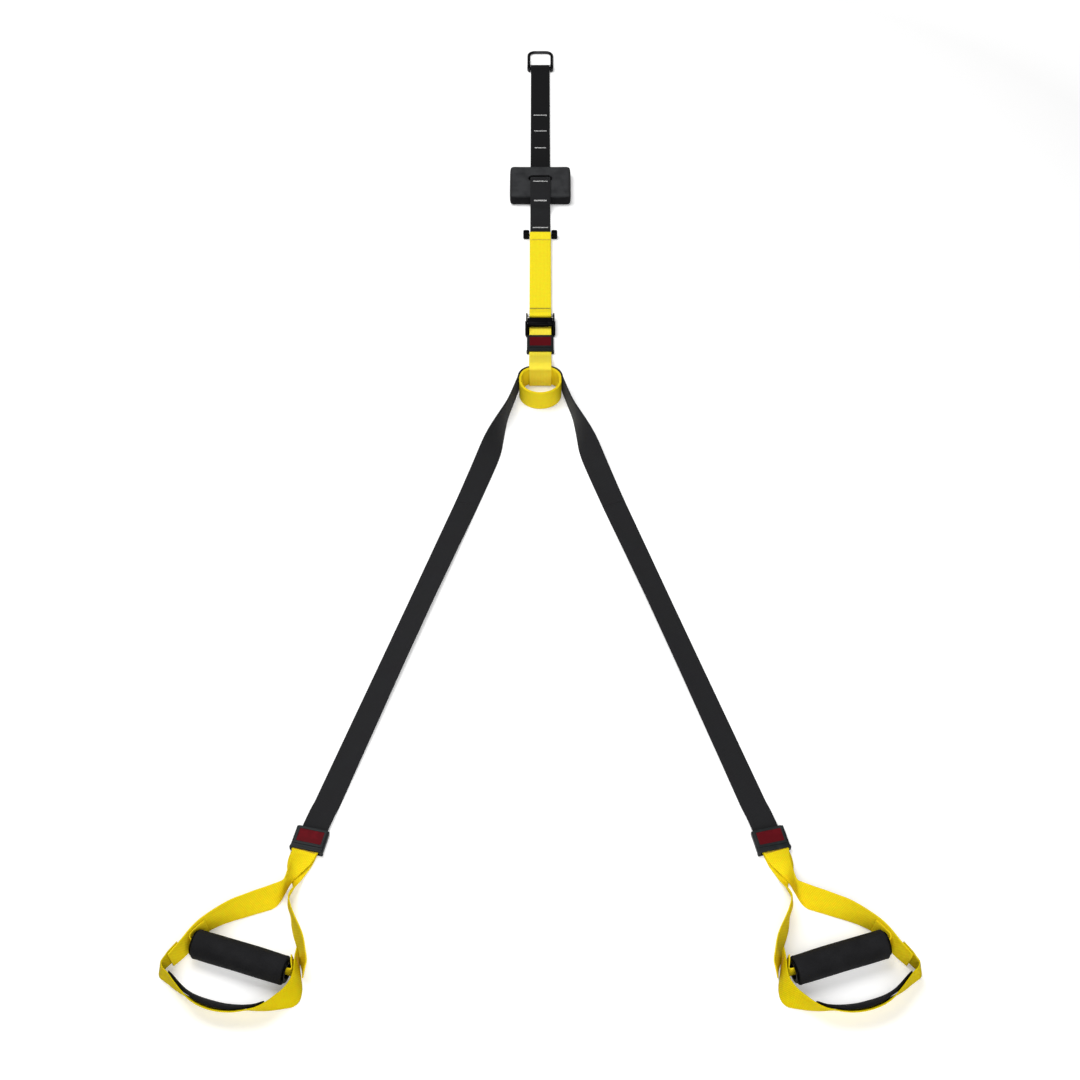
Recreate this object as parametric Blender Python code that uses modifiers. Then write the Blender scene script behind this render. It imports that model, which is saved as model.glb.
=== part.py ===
"""A suspension trainer laid flat: a hanging ring and anchor strap with a door pad, a main strap with a
cam buckle, a locking loop, and two legs that each end in a handle with a foot loop."""

import math

import bmesh
import bpy
import numpy as np

# Webbing and clearances
WEBBING_WIDTH = 0.038
ANCHOR_WIDTH = 0.036
WEBBING_THICKNESS = 0.002
GAP = 0.0003
EDGE_LIFT = 0.0003

# Hanging ring
RING_WIRE = 0.0049
RING_INNER_WIDTH = 0.0395
RING_REACH = 0.0517
RING_TOP_CORNER = 0.009
RING_BASE_CORNER = 0.0045

# Anchor strap and door pad
ANCHOR_LENGTH = 0.471
PAD_WIDTH = 0.112
PAD_LENGTH = 0.083
PAD_THICKNESS = 0.023
PAD_EDGE = 0.005
PAD_SLOT_CLEARANCE = 0.0007
PAD_SLOT_FROM_TOP = 0.036
PAD_HIGH_SHARE = 0.361
RAMP_LENGTH = 0.030

# Strap link: two bars between two end blocks
LINK_BAR_RADIUS = 0.0015
LINK_BAR_SPACING = 0.004
LINK_BLOCK_LENGTH = 0.011
LINK_BLOCK_DEPTH = 0.011
LINK_BLOCK_HEIGHT = 0.015
LINK_BLOCK_EDGE = 0.0018
LINK_SIDE_CLEARANCE = 0.0006

# Main strap and cam buckle
MAIN_STRAP_LENGTH = 0.208
FLAP_LENGTH = 0.012
BUCKLE_WIDTH = 0.052
BUCKLE_LENGTH = 0.048
BUCKLE_CHEEK = 0.003
BUCKLE_CHEEK_HEIGHT = 0.017
BUCKLE_PLATE = 0.0018
BUCKLE_EDGE = 0.0008
BUCKLE_BAR_RADIUS = 0.002
BUCKLE_BAR_INSET = 0.005
BUCKLE_CHEEK_CORNER = 0.004
CAM_PIN_RADIUS = 0.002
CAM_PIN_INSET = 0.0265
CAM_DRUM_RADIUS = 0.0052
CAM_LEVER_LENGTH = 0.0105
CAM_LEVER_THICKNESS = 0.0045
CAM_WIDTH = 0.036
CAM_PIN_CLEARANCE = 0.0002
SPRING_WIRE = 0.0009
SPRING_RADIUS = 0.0033
SPRING_TURNS = 4

# Webbing keepers: flat tubes with a plate on top
KEEPER_WIDTH = 0.046
KEEPER_LENGTH = 0.0385
KEEPER_WALL = 0.0012
KEEPER_CORNER = 0.0022
KEEPER_LIP = 0.003
KEEPER_LIP_PROUD = 0.0012
PLATE_WIDTH = 0.037
PLATE_LENGTH = 0.026
PLATE_THICKNESS = 0.0009

# Adjuster strap, locking loop and the running strap round it
TAIL_LENGTH = 0.150
LOOP_WIDTH = 0.071
LOOP_DEPTH = 0.061
LOOP_BAND = 0.004
LOOP_CLEARANCE = 0.0009
LOOP_TO_KEEPER = 0.099
LOOP_BACK_POWER = 0.75
BIGHT_END_ANGLE = 8.0

# Legs
LEG_ANGLE = 18.3
LEG_LENGTH = 0.897
SWING_OUT = 0.048
SWING_DOWN = 0.028

# Handles
HANDLE_DROP = 0.312
HANDLE_SPAN = 0.193
KEEPER_SPAN_SHARE = 0.1969
KEEPER_END_SHARE = 0.128
OPEN_SHARE = 0.32
GRIP_RADIUS = 0.0208
GRIP_LENGTH_SHARE = 0.686
GRIP_DROP_SHARE = 0.691
GRIP_OFFSET_SHARE = 0.0777
GRIP_HEIGHT = 0.0212
TUBE_RADIUS = 0.0145
TUBE_WALL = 0.002
CAP_RADIUS = 0.0165
CAP_FLANGE = 0.0035
CAP_SPIGOT = 0.008
CAP_WALL = 0.0012
CORE_WIDTH = 0.020
FOOT_PAD_THICKNESS = 0.0045

# Colours
YELLOW = (0.90, 0.74, 0.02)
BLACK_WEBBING = (0.022, 0.022, 0.024)
BLACK_PLASTIC = (0.030, 0.032, 0.034)
FOAM = (0.026, 0.026, 0.028)
STEEL = (0.055, 0.055, 0.060)
PLATE_RED = (0.20, 0.012, 0.018)

ROUND_SIDES = 28
FINE_STEPS = 500
LEG_STEPS = 120
OUTLINE_TOLERANCE = 0.00004
RIBBON_TOLERANCE = 0.00015


def clear_scene():
    for thing in list(bpy.data.objects):
        bpy.data.objects.remove(thing, do_unlink=True)


def make_material(name, colour, roughness, metallic=0.0):
    material = bpy.data.materials.new(name)
    material.use_nodes = True
    shader = material.node_tree.nodes["Principled BSDF"]
    shader.inputs["Base Color"].default_value = (*colour, 1.0)
    shader.inputs["Roughness"].default_value = roughness
    shader.inputs["Metallic"].default_value = metallic
    material.diffuse_color = (*colour, 1.0)
    return material


def make_collection(name):
    collection = bpy.data.collections.new(name)
    bpy.context.scene.collection.children.link(collection)
    return collection


def make_empty(name, location=(0.0, 0.0, 0.0), turn=0.0, parent=None):
    empty = bpy.data.objects.new(name, None)
    empty.location = location
    empty.rotation_euler = (0.0, 0.0, turn)
    empty.parent = parent
    PARTS.objects.link(empty)
    return empty


def place(name, data, material, parent, location=(0.0, 0.0, 0.0), rotation=(0.0, 0.0, 0.0)):
    thing = bpy.data.objects.new(name, data)
    if material:
        data.materials.append(make_material(name + "_finish", *material))
    thing.location = location
    thing.rotation_euler = rotation
    thing.parent = parent
    PARTS.objects.link(thing)
    return thing


def move_to_cutters(thing):
    PARTS.objects.unlink(thing)
    CUTTERS.objects.link(thing)
    thing.hide_render = True
    thing.display_type = "WIRE"


def thin_out(points, tolerance):
    """Leaves out the points of a line that lie on a straight between their neighbours."""
    keep = {0, len(points) - 1}
    spans = [(0, len(points) - 1)]
    while spans:
        first, last = spans.pop()
        if last - first < 2:
            continue
        chord = points[last] - points[first]
        inside = points[first + 1 : last] - points[first]
        share = np.clip(inside @ chord / (chord @ chord), 0.0, 1.0)
        off = np.linalg.norm(inside - share[:, None] * chord, axis=1)
        furthest = int(np.argmax(off))
        if off[furthest] > tolerance:
            middle = first + 1 + furthest
            keep.add(middle)
            spans += [(first, middle), (middle, last)]
    return points[sorted(keep)]


def smooth_path(points, count, tolerance=None):
    """Points along a smooth curve through the given ones, or only those that its bends need."""
    points = np.asarray(points, float)
    spans = np.linalg.norm(np.diff(points, axis=0), axis=1)[:, None]
    slopes = np.diff(points, axis=0) / spans
    inner = (slopes[:-1] * spans[1:] + slopes[1:] * spans[:-1]) / (spans[:-1] + spans[1:])
    tangents = np.vstack([slopes[:1], inner, slopes[-1:]])
    share = np.linspace(0.0, 1.0, 16, endpoint=False)[:, None]
    fine = []
    for k, span in enumerate(spans):
        fine.append((2 * share**3 - 3 * share**2 + 1) * points[k] + (3 * share**2 - 2 * share**3) * points[k + 1]
                    + (share**3 - 2 * share**2 + share) * span * tangents[k]
                    + (share**3 - share**2) * span * tangents[k + 1])
    fine = np.vstack([*fine, points[-1:]])
    steps = np.linalg.norm(np.diff(fine, axis=0), axis=1)
    length = np.concatenate([[0.0], np.cumsum(steps)])
    wanted = np.linspace(0.0, length[-1], count)
    even = np.column_stack([np.interp(wanted, length, column) for column in fine.T])
    return thin_out(even, tolerance) if tolerance else even


def loft(name, rows, material, parent):
    """A closed solid from stations of four corners each, with a cap at both ends."""
    rows = np.asarray(rows, float)
    count = len(rows)
    mesh = bpy.data.meshes.new(name)
    faces = []
    for k in range(count - 1):
        for j in range(4):
            i = (j + 1) % 4
            faces.append((4 * k + j, 4 * k + i, 4 * k + 4 + i, 4 * k + 4 + j))
    faces.append((3, 2, 1, 0))
    faces.append(tuple(4 * (count - 1) + j for j in range(4)))
    mesh.from_pydata(rows.reshape(-1, 3).tolist(), [], faces)
    shell = bmesh.new()
    shell.from_mesh(mesh)
    bmesh.ops.triangulate(shell, faces=shell.faces)
    bmesh.ops.recalc_face_normals(shell, faces=shell.faces)
    shell.to_mesh(mesh)
    shell.free()
    return place(name, mesh, material, parent)


def ribbon(name, pairs, thickness, material, parent, side=1, offset=0.0):
    """Webbing between a top edge and a bottom edge. Each pair holds one point of both edges."""
    edges = smooth_path(pairs, FINE_STEPS, RIBBON_TOLERANCE)
    top, bottom = edges[:, :3].copy(), edges[:, 3:].copy()
    middle = (top + bottom) / 2
    along = np.gradient(middle, axis=0)
    normal = np.cross(along, top - bottom)
    normal /= np.linalg.norm(normal, axis=1)[:, None]
    top, bottom = top + normal * offset, bottom + normal * offset
    half = normal * thickness / 2
    rows = np.stack([top + half, bottom + half, bottom - half, top - half], axis=1)
    rows[:, :, 0] *= side
    return loft(name, rows, material, parent)


def outline_solid(name, outline, half_width, material, parent, location=(0.0, 0.0, 0.0), holes=(), across="X"):
    """A flat outline drawn in Y and Z, filled and extruded along X, or drawn in X and Y and raised along Z."""
    curve = bpy.data.curves.new(name, "CURVE")
    curve.dimensions = "2D"
    curve.fill_mode = "BOTH"
    curve.extrude = half_width
    for points in (outline, *holes):
        spline = curve.splines.new("POLY")
        spline.points.add(len(points) - 1)
        for point, (x, y) in zip(spline.points, points):
            point.co = (x, y, 0.0, 1.0)
        spline.use_cyclic_u = True
    quarter = math.radians(90.0)
    rotation = {"X": (quarter, 0.0, quarter), "Z": (0.0, 0.0, 0.0), "Y": (quarter, 0.0, 0.0)}[across]
    return place(name, curve, material, parent, location, rotation)


def as_mesh(thing):
    """Replaces a curve object by the mesh that it makes, with its caps welded."""
    bpy.context.view_layer.update()
    graph = bpy.context.evaluated_depsgraph_get()
    mesh = bpy.data.meshes.new_from_object(thing.evaluated_get(graph))
    shell = bmesh.new()
    shell.from_mesh(mesh)
    bmesh.ops.remove_doubles(shell, verts=shell.verts, dist=GAP / 100)
    bmesh.ops.recalc_face_normals(shell, faces=shell.faces)
    shell.to_mesh(mesh)
    shell.free()
    name, place_was, parent = thing.name, thing.matrix_world.copy(), thing.parent
    bpy.data.objects.remove(thing, do_unlink=True)
    solid = bpy.data.objects.new(name, mesh)
    PARTS.objects.link(solid)
    solid.parent = parent
    solid.matrix_world = place_was
    return solid


def cut(thing, cutter, operation="DIFFERENCE"):
    modifier = thing.modifiers.new(operation.lower() + "_" + cutter.name, "BOOLEAN")
    modifier.operation = operation
    modifier.object = cutter
    move_to_cutters(cutter)


def box(name, size, location, material, parent, edge=0.0, rotation=(0.0, 0.0, 0.0)):
    shell = bmesh.new()
    bmesh.ops.create_cube(shell, size=1.0)
    bmesh.ops.scale(shell, vec=size, verts=shell.verts)
    mesh = bpy.data.meshes.new(name)
    shell.to_mesh(mesh)
    shell.free()
    thing = place(name, mesh, material, parent, location, rotation)
    if edge:
        bevel = thing.modifiers.new("rounded_edges", "BEVEL")
        bevel.width = edge
        bevel.segments = 3
    return thing


def rod(name, radius, length, location, material, parent, rotation=(0.0, math.pi / 2, 0.0)):
    """A round bar, along X unless it is turned another way."""
    shell = bmesh.new()
    bmesh.ops.create_cone(shell, cap_ends=True, segments=ROUND_SIDES // 2, radius1=radius, radius2=radius,
                          depth=length)
    mesh = bpy.data.meshes.new(name)
    shell.to_mesh(mesh)
    shell.free()
    return place(name, mesh, material, parent, location, rotation)


def turned(name, profile, location, material, parent, rotation):
    """A closed profile of radius and height turned about the object's own Z axis."""
    mesh = bpy.data.meshes.new(name)
    count = len(profile)
    mesh.from_pydata([(r, 0.0, z) for r, z in profile], [(k, (k + 1) % count) for k in range(count)], [])
    thing = place(name, mesh, material, parent, location, rotation)
    screw = thing.modifiers.new("turned", "SCREW")
    screw.steps = screw.render_steps = ROUND_SIDES
    screw.use_merge_vertices = True
    screw.merge_threshold = GAP / 10
    return thing


def arc(centre, radius, start, end, count=10):
    """Points on an arc, with its angles in degrees."""
    angles = np.radians(np.linspace(start, end, count))
    return [(centre[0] + radius * math.cos(a), centre[1] + radius * math.sin(a)) for a in angles]


def tangent_angle(centre, radius, point, above=1):
    """The angle on a circle where the line from an outside point touches it, on its upper or lower side."""
    dy, dz = point[0] - centre[0], point[1] - centre[1]
    lean = math.degrees(math.acos(min(1.0, radius / math.hypot(dy, dz))))
    return math.degrees(math.atan2(dz, dy)) + above * lean


def round_eye(centre, radius, arriving, leaving):
    """The arc round an eye between the tangents to two outside points, anticlockwise."""
    start = tangent_angle(centre, radius, arriving, 1)
    end = tangent_angle(centre, radius, leaving, -1)
    return arc(centre, radius, start, start + (end - start) % 360, 14)


def offset_strip(points, half):
    """The outline of a strip of the given half thickness along an open line."""
    points = np.asarray(points, float)
    along = np.gradient(points, axis=0)
    along /= np.linalg.norm(along, axis=1)[:, None]
    normal = np.column_stack([-along[:, 1], along[:, 0]]) * half
    return (points - normal), (points + normal)


def double_strap(line, thickness, low_eye, high_eye, eye_radius, flap=0.0):
    """The side outline of a strap of two sewn plies that opens into an eye at both ends."""
    lower, upper = offset_strip(line, thickness / 2)
    high_radius, low_radius = eye_radius
    high_reach, low_reach = 3 * high_radius, 3 * low_radius
    keep = (lower[:, 0] > low_eye[0] + low_reach) & (lower[:, 0] < high_eye[0] - high_reach)
    lower, upper = lower[keep], upper[keep]
    outline = list(map(tuple, lower))
    outline += round_eye(high_eye, high_radius, lower[-1], upper[-1])
    outline += list(map(tuple, upper[::-1]))
    if flap:
        step = (low_eye[0] + low_radius + flap, upper[0][1])
        outline[-1] = step
        outline.append((step[0], step[1] + WEBBING_THICKNESS))
    outline += round_eye(low_eye, low_radius, outline[-1], lower[0])
    return outline


def hanging_ring(parent):
    """A bent wire ring with a straight base bar and rounded top corners, hinged in the anchor strap."""
    half = (RING_INNER_WIDTH + RING_WIRE) / 2
    path = arc((half - RING_BASE_CORNER, RING_BASE_CORNER), RING_BASE_CORNER, -90, 0, 5)
    path += arc((half - RING_TOP_CORNER, RING_REACH - RING_TOP_CORNER), RING_TOP_CORNER, 0, 90, 7)
    path += [(-x, y) for x, y in path[::-1]]
    curve = bpy.data.curves.new("hanging_ring", "CURVE")
    curve.dimensions = "3D"
    curve.bevel_depth = RING_WIRE / 2
    curve.bevel_resolution = 2
    spline = curve.splines.new("POLY")
    spline.points.add(len(path) - 1)
    for point, (x, y) in zip(spline.points, path):
        point.co = (x, y, 0.0, 1.0)
    spline.use_cyclic_u = True
    tilt = math.asin((RING_EYE[1] - RING_WIRE / 2 - EDGE_LIFT) / RING_REACH)
    return place("hanging_ring", curve, (STEEL, 0.3, 1.0), parent, (0.0, *RING_EYE), (-tilt, 0.0, 0.0))


def anchor_line():
    """The anchor strap's middle line in Y and Z: under the pad's upper half, up its slot and over its lower half."""
    flat = EDGE_LIFT + WEBBING_THICKNESS
    high = PAD_THICKNESS + EDGE_LIFT + WEBBING_THICKNESS
    rise = 0.35 * PAD_THICKNESS
    points = [
        (LINK_REAR[0], flat), (PAD_LOW - 1.3 * RAMP_LENGTH, flat), (PAD_LOW - RAMP_LENGTH, flat + 0.02 * rise),
        (PAD_LOW - 0.62 * RAMP_LENGTH, flat + 0.5 * rise), (PAD_LOW - 0.3 * RAMP_LENGTH, high - 1.1 * rise),
        (PAD_LOW + 0.02 * RAMP_LENGTH, high - 0.1 * rise), (PAD_LOW + 0.2 * RAMP_LENGTH, high),
        (PAD_SLOT - 0.36 * PAD_THICKNESS, high), (PAD_SLOT - 0.06 * PAD_THICKNESS, high - 0.2 * rise),
        (PAD_SLOT + 0.38 * PAD_THICKNESS, (flat + high) / 2),
        (PAD_SLOT + 0.82 * PAD_THICKNESS, flat + 0.2 * rise), (PAD_SLOT + 1.12 * PAD_THICKNESS, flat),
        (PAD_HIGH, flat), (RING_EYE[0], flat),
    ]
    return smooth_path(points, FINE_STEPS, OUTLINE_TOLERANCE)


def anchor_group(parent):
    line = anchor_line()
    plies = 2 * WEBBING_THICKNESS
    radii = (RING_EYE_RADIUS, LINK_EYE_RADIUS)
    outline = double_strap(line, plies, LINK_REAR, RING_EYE, radii)
    holes = (arc(RING_EYE, RING_WIRE / 2 + GAP, 0, 345, 16), arc(LINK_REAR, LINK_BAR_RADIUS + GAP, 0, 340, 12))
    outline_solid("anchor_strap", outline, ANCHOR_WIDTH / 2, (BLACK_WEBBING, 0.85), parent, holes=holes)
    inside = line[(line[:, 0] > PAD_LOW - RAMP_LENGTH) & (line[:, 0] < PAD_HIGH + PAD_EDGE + RAMP_LENGTH)]
    lower, upper = offset_strip(inside, plies / 2 + PAD_SLOT_CLEARANCE)
    slot = outline_solid("pad_slot", [*map(tuple, lower), *map(tuple, upper[::-1])],
                         ANCHOR_WIDTH / 2 + PAD_SLOT_CLEARANCE, None, parent)
    pad = box("door_pad", (PAD_WIDTH, PAD_LENGTH, PAD_THICKNESS),
              (0.0, (PAD_LOW + PAD_HIGH) / 2, PAD_THICKNESS / 2), (FOAM, 0.8), parent, PAD_EDGE)
    cut(pad, as_mesh(slot))


def link_group(parent):
    """Two steel bars held between two end blocks: the anchor strap's eye is on one, the main strap's on the other."""
    inner = WEBBING_WIDTH / 2 + LINK_SIDE_CLEARANCE
    length = 2 * (inner + LINK_BLOCK_LENGTH / 2)
    for name, centre in (("link_bar_anchor", LINK_REAR), ("link_bar_main", LINK_FRONT)):
        rod(name, LINK_BAR_RADIUS, length, (0.0, *centre), (STEEL, 0.3, 1.0), parent)
        for word, side in SIDES:
            socket = rod("link_socket", LINK_BAR_RADIUS + GAP, length + 2 * GAP, (0.0, *centre), None, parent)
            socket.name = f"{name}_socket_{word}"
            move_to_cutters(socket)
    middle = (LINK_REAR[0] + LINK_FRONT[0]) / 2
    for word, side in SIDES:
        block = box(f"link_block_{word}", (LINK_BLOCK_LENGTH, LINK_BLOCK_DEPTH, LINK_BLOCK_HEIGHT),
                    (side * (inner + LINK_BLOCK_LENGTH / 2), middle, LINK_BLOCK_HEIGHT / 2),
                    (BLACK_PLASTIC, 0.5), parent, LINK_BLOCK_EDGE)
        for name in ("link_bar_anchor", "link_bar_main"):
            hole = block.modifiers.new(name + "_hole", "BOOLEAN")
            hole.operation = "DIFFERENCE"
            hole.object = bpy.data.objects[f"{name}_socket_{word}"]


def main_strap(parent):
    low = BUCKLE_EYE[1] - BUCKLE_EYE_RADIUS + WEBBING_THICKNESS
    high = LINK_FRONT[1] - LINK_EYE_RADIUS + WEBBING_THICKNESS
    line = np.column_stack([np.linspace(BUCKLE_EYE[0], LINK_FRONT[0], 9), np.linspace(low, high, 9)])
    outline = double_strap(line, 2 * WEBBING_THICKNESS, BUCKLE_EYE, LINK_FRONT,
                           (LINK_EYE_RADIUS, BUCKLE_EYE_RADIUS), FLAP_LENGTH)
    holes = (arc(BUCKLE_EYE, BUCKLE_BAR_RADIUS + GAP, 0, 340, 14), arc(LINK_FRONT, LINK_BAR_RADIUS + GAP, 0, 340, 12))
    outline_solid("main_strap", outline, WEBBING_WIDTH / 2, (YELLOW, 0.7), parent, holes=holes)


def buckle_group(parent):
    """A channel frame with a cross bar at its upper end and a sprung cam that bites the adjuster strap."""
    half = BUCKLE_WIDTH / 2
    low, high = BUCKLE_EYE[0] + BUCKLE_BAR_INSET - BUCKLE_LENGTH, BUCKLE_EYE[0] + BUCKLE_BAR_INSET
    centre = (low + high) / 2
    plate_z = ADJUSTER_LEVEL - WEBBING_THICKNESS / 2 - GAP - BUCKLE_PLATE / 2
    frame = box("buckle_frame", (BUCKLE_WIDTH, BUCKLE_LENGTH, BUCKLE_PLATE), (0.0, centre, plate_z),
                (BLACK_PLASTIC, 0.45), parent)
    window = box("plate_end", (BUCKLE_WIDTH, BUCKLE_BAR_INSET * 2, BUCKLE_CHEEK_HEIGHT),
                 (0.0, high, plate_z), None, parent)
    cut(frame, window)
    corner, height = BUCKLE_CHEEK_CORNER, BUCKLE_CHEEK_HEIGHT
    side_view = [(low, 0.0), (high, 0.0), *arc((high - corner, height - corner), corner, 0, 90, 5),
                 *arc((low + 2 * corner, height - 2 * corner), 2 * corner, 90, 180, 6)]
    for word, side in SIDES:
        cheek = outline_solid(f"buckle_cheek_{word}", side_view, BUCKLE_CHEEK / 2, None, parent,
                              (side * (half - BUCKLE_CHEEK / 2), 0.0, 0.0))
        cut(frame, as_mesh(cheek), "UNION")
    span = BUCKLE_WIDTH - BUCKLE_CHEEK
    for name, radius, spot in (("buckle_bar", BUCKLE_BAR_RADIUS, BUCKLE_EYE), ("cam_pin", CAM_PIN_RADIUS, CAM_PIN)):
        rod(name, radius, span, (0.0, *spot), (STEEL, 0.3, 1.0), parent)
        cut(frame, rod(name + "_socket", radius + GAP, span + 2 * GAP, (0.0, *spot), None, parent))
    drum = CAM_DRUM_RADIUS
    lever_top = drum
    lever_low = lever_top - CAM_LEVER_THICKNESS
    nose = ADJUSTER_LEVEL + WEBBING_THICKNESS / 2 + GAP - CAM_PIN[1]
    profile = arc((0.0, 0.0), drum, 90, 235, 9)
    profile += [(-0.35 * drum, nose), (0.25 * drum, nose)]
    profile += arc((0.0, 0.0), drum, -50, -12, 4)
    profile += [(CAM_LEVER_LENGTH, lever_low), (CAM_LEVER_LENGTH + 0.3 * drum, (lever_low + lever_top) / 2),
                (CAM_LEVER_LENGTH, lever_top)]
    bore = arc((0.0, 0.0), CAM_PIN_RADIUS + CAM_PIN_CLEARANCE, 0, 340, 14)
    outline_solid("cam_lever", profile, CAM_WIDTH / 2, (BLACK_PLASTIC, 0.45), parent,
                  (CAM_SHIFT, *CAM_PIN), (bore,))
    turns, steps = SPRING_TURNS, 10
    room = SPRING_ROOM
    pitch = (room - SPRING_WIRE - 2 * GAP) / turns
    curve = bpy.data.curves.new("cam_spring", "CURVE")
    curve.dimensions = "3D"
    curve.bevel_depth = SPRING_WIRE / 2
    curve.bevel_resolution = 1
    curve.use_fill_caps = True
    count = np.arange(turns * steps + 1)
    angle = 2 * math.pi * count / steps
    coil = np.column_stack([(count / (turns * steps) - 0.5) * turns * pitch,
                            SPRING_RADIUS * np.cos(angle), SPRING_RADIUS * np.sin(angle)])
    apart = np.linalg.norm(coil[:, None] - coil[None, :], axis=2)
    apart = apart[np.abs(count[:, None] - count[None, :]) > steps / 2]
    print(f"The cam spring's least gap to itself is {1000 * (apart.min() - SPRING_WIRE):.2f} mm")
    spline = curve.splines.new("POLY")
    spline.points.add(len(coil) - 1)
    for point, (x, y, z) in zip(spline.points, coil):
        point.co = (x, y, z, 1.0)
    place("cam_spring", curve, (STEEL, 0.3, 1.0), parent, (SPRING_X, *CAM_PIN))


def keeper(name, parent, location, levels, plate_name):
    """A moulded flat tube round the sewn plies, with a lip at its lower end and a plate on its top face."""
    floor, top = levels
    height = top - floor
    half = (KEEPER_WIDTH / 2, KEEPER_LENGTH / 2)
    body = box(name, (KEEPER_WIDTH, KEEPER_LENGTH, height), (location[0], location[1], floor + height / 2),
               (BLACK_PLASTIC, 0.5), parent, KEEPER_CORNER)
    lip = box(name + "_lip", (KEEPER_WIDTH, KEEPER_LIP, height + KEEPER_LIP_PROUD),
              (location[0], location[1] - half[1] + KEEPER_LIP / 2, floor + (height + KEEPER_LIP_PROUD) / 2),
              None, parent, KEEPER_CORNER / 2)
    cut(body, lip, "UNION")
    hollow = box(name + "_hollow", (WEBBING_WIDTH + 4 * GAP, 2 * KEEPER_LENGTH, height - 2 * KEEPER_WALL),
                 (location[0], location[1], floor + height / 2), None, parent)
    cut(body, hollow)
    box(plate_name, (PLATE_WIDTH, PLATE_LENGTH, PLATE_THICKNESS),
        (location[0], location[1] + (KEEPER_LENGTH - PLATE_LENGTH) / 4, top + GAP + PLATE_THICKNESS / 2),
        (PLATE_RED, 0.4), parent, PLATE_THICKNESS / 3)
    return body


def loop_outline(half_x, half_y, start, end, count):
    """An ellipse whose back, where the strap pulls on it, is flattened."""
    points = []
    for angle in np.radians(np.linspace(start, end, count)):
        power = LOOP_BACK_POWER if math.sin(angle) > 0 else 1.0
        points.append((half_x * math.copysign(abs(math.cos(angle)) ** power, math.cos(angle)),
                       half_y * math.copysign(abs(math.sin(angle)) ** power, math.sin(angle))))
    return points


def loop_back(half_x, half_y, x):
    """How far back the loop's outline lies at x."""
    return half_y * (1 - (x / half_x) ** (2 / LOOP_BACK_POWER)) ** (LOOP_BACK_POWER / 2)


def adjuster_group(parent):
    """The adjuster strap runs through the buckle and the keeper, and folds round the back of the locking loop."""
    level, under, low = ADJUSTER_LEVEL, UNDER_LEVEL, EDGE_LIFT + WEBBING_THICKNESS / 2
    half_x, half_y = LOOP_WIDTH / 2, LOOP_DEPTH / 2
    inside = loop_back(half_x - LOOP_BAND, half_y - LOOP_BAND, WEBBING_WIDTH / 2)
    inside -= LOOP_CLEARANCE + WEBBING_THICKNESS / 2
    outside = LOOP_DEPTH / 2 + GAP + WEBBING_THICKNESS + LOOP_CLEARANCE + WEBBING_THICKNESS / 2
    over = LOOP_LIFT + WEBBING_WIDTH + LOOP_CLEARANCE + WEBBING_THICKNESS / 2
    keeper_low, keeper_high = LOOP_TO_KEEPER, LOOP_TO_KEEPER + KEEPER_LENGTH
    tail_end = BUCKLE_EYE[0] + TAIL_LENGTH
    slope = keeper_low - outside
    bend = 1.8 * WEBBING_THICKNESS
    points = [
        (tail_end, level), (keeper_high, level), (keeper_low + 0.3 * KEEPER_LENGTH, level), (keeper_low, level),
        (keeper_low - 0.06 * slope, level + 0.015 * over), (keeper_low - 0.16 * slope, level + 0.06 * over),
        (outside + 0.42 * slope, 0.62 * over), (outside + 0.16 * slope, 0.88 * over), (outside, over),
        ((inside + outside) / 2, over + 0.3 * WEBBING_THICKNESS),
        (inside + 0.12 * LOOP_BAND, over - 0.2 * WEBBING_THICKNESS), (inside, 0.8 * over), (inside, 0.4 * over),
        (inside, low + 1.5 * bend), *arc((inside + bend, low + bend), bend, 180, 270, 6), (inside + 1.5 * bend, low),
        (outside + 0.3 * slope, low), (outside + 0.65 * slope, low), (keeper_low - 0.2 * slope, low),
        (keeper_low - 0.12 * slope, low + 0.2 * (under - low)), (keeper_low - 0.03 * slope, low + 0.9 * (under - low)),
        (keeper_low + 0.04 * slope, under), ((keeper_low + keeper_high) / 2, under),
    ]
    line = smooth_path(points, FINE_STEPS, OUTLINE_TOLERANCE)
    lower, upper = offset_strip(line, WEBBING_THICKNESS / 2)
    outline_solid("adjuster_strap", [*map(tuple, lower), *map(tuple, upper[::-1])], WEBBING_WIDTH / 2,
                  (YELLOW, 0.7), parent)
    keeper("centre_keeper", parent, (0.0, (keeper_low + keeper_high) / 2),
           (0.0, level + WEBBING_THICKNESS / 2 + 2 * GAP + KEEPER_WALL), "centre_plate")
    tilt = math.atan((LOOP_LIFT - EDGE_LIFT) / LOOP_DEPTH)
    outline_solid("locking_loop", loop_outline(half_x, half_y, 0, 354, 60), WEBBING_WIDTH / 2, (YELLOW, 0.7),
                  parent, (0.0, 0.0, (LOOP_LIFT + EDGE_LIFT + WEBBING_WIDTH) / 2),
                  (loop_outline(half_x - LOOP_BAND, half_y - LOOP_BAND, 0, 354, 60),), "Z").rotation_euler.x = tilt
    reach = LOOP_CLEARANCE + WEBBING_THICKNESS
    bight = loop_outline(half_x + LOOP_CLEARANCE, half_y + LOOP_CLEARANCE, BIGHT_END_ANGLE, 180 - BIGHT_END_ANGLE, 34)
    bight += loop_outline(half_x + reach, half_y + reach, 180 - BIGHT_END_ANGLE, BIGHT_END_ANGLE, 34)
    outline_solid("running_strap", bight, WEBBING_WIDTH / 2, (BLACK_WEBBING, 0.85), parent,
                  (0.0, 0.0, LOOP_LIFT + WEBBING_WIDTH / 2), across="Z")


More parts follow.
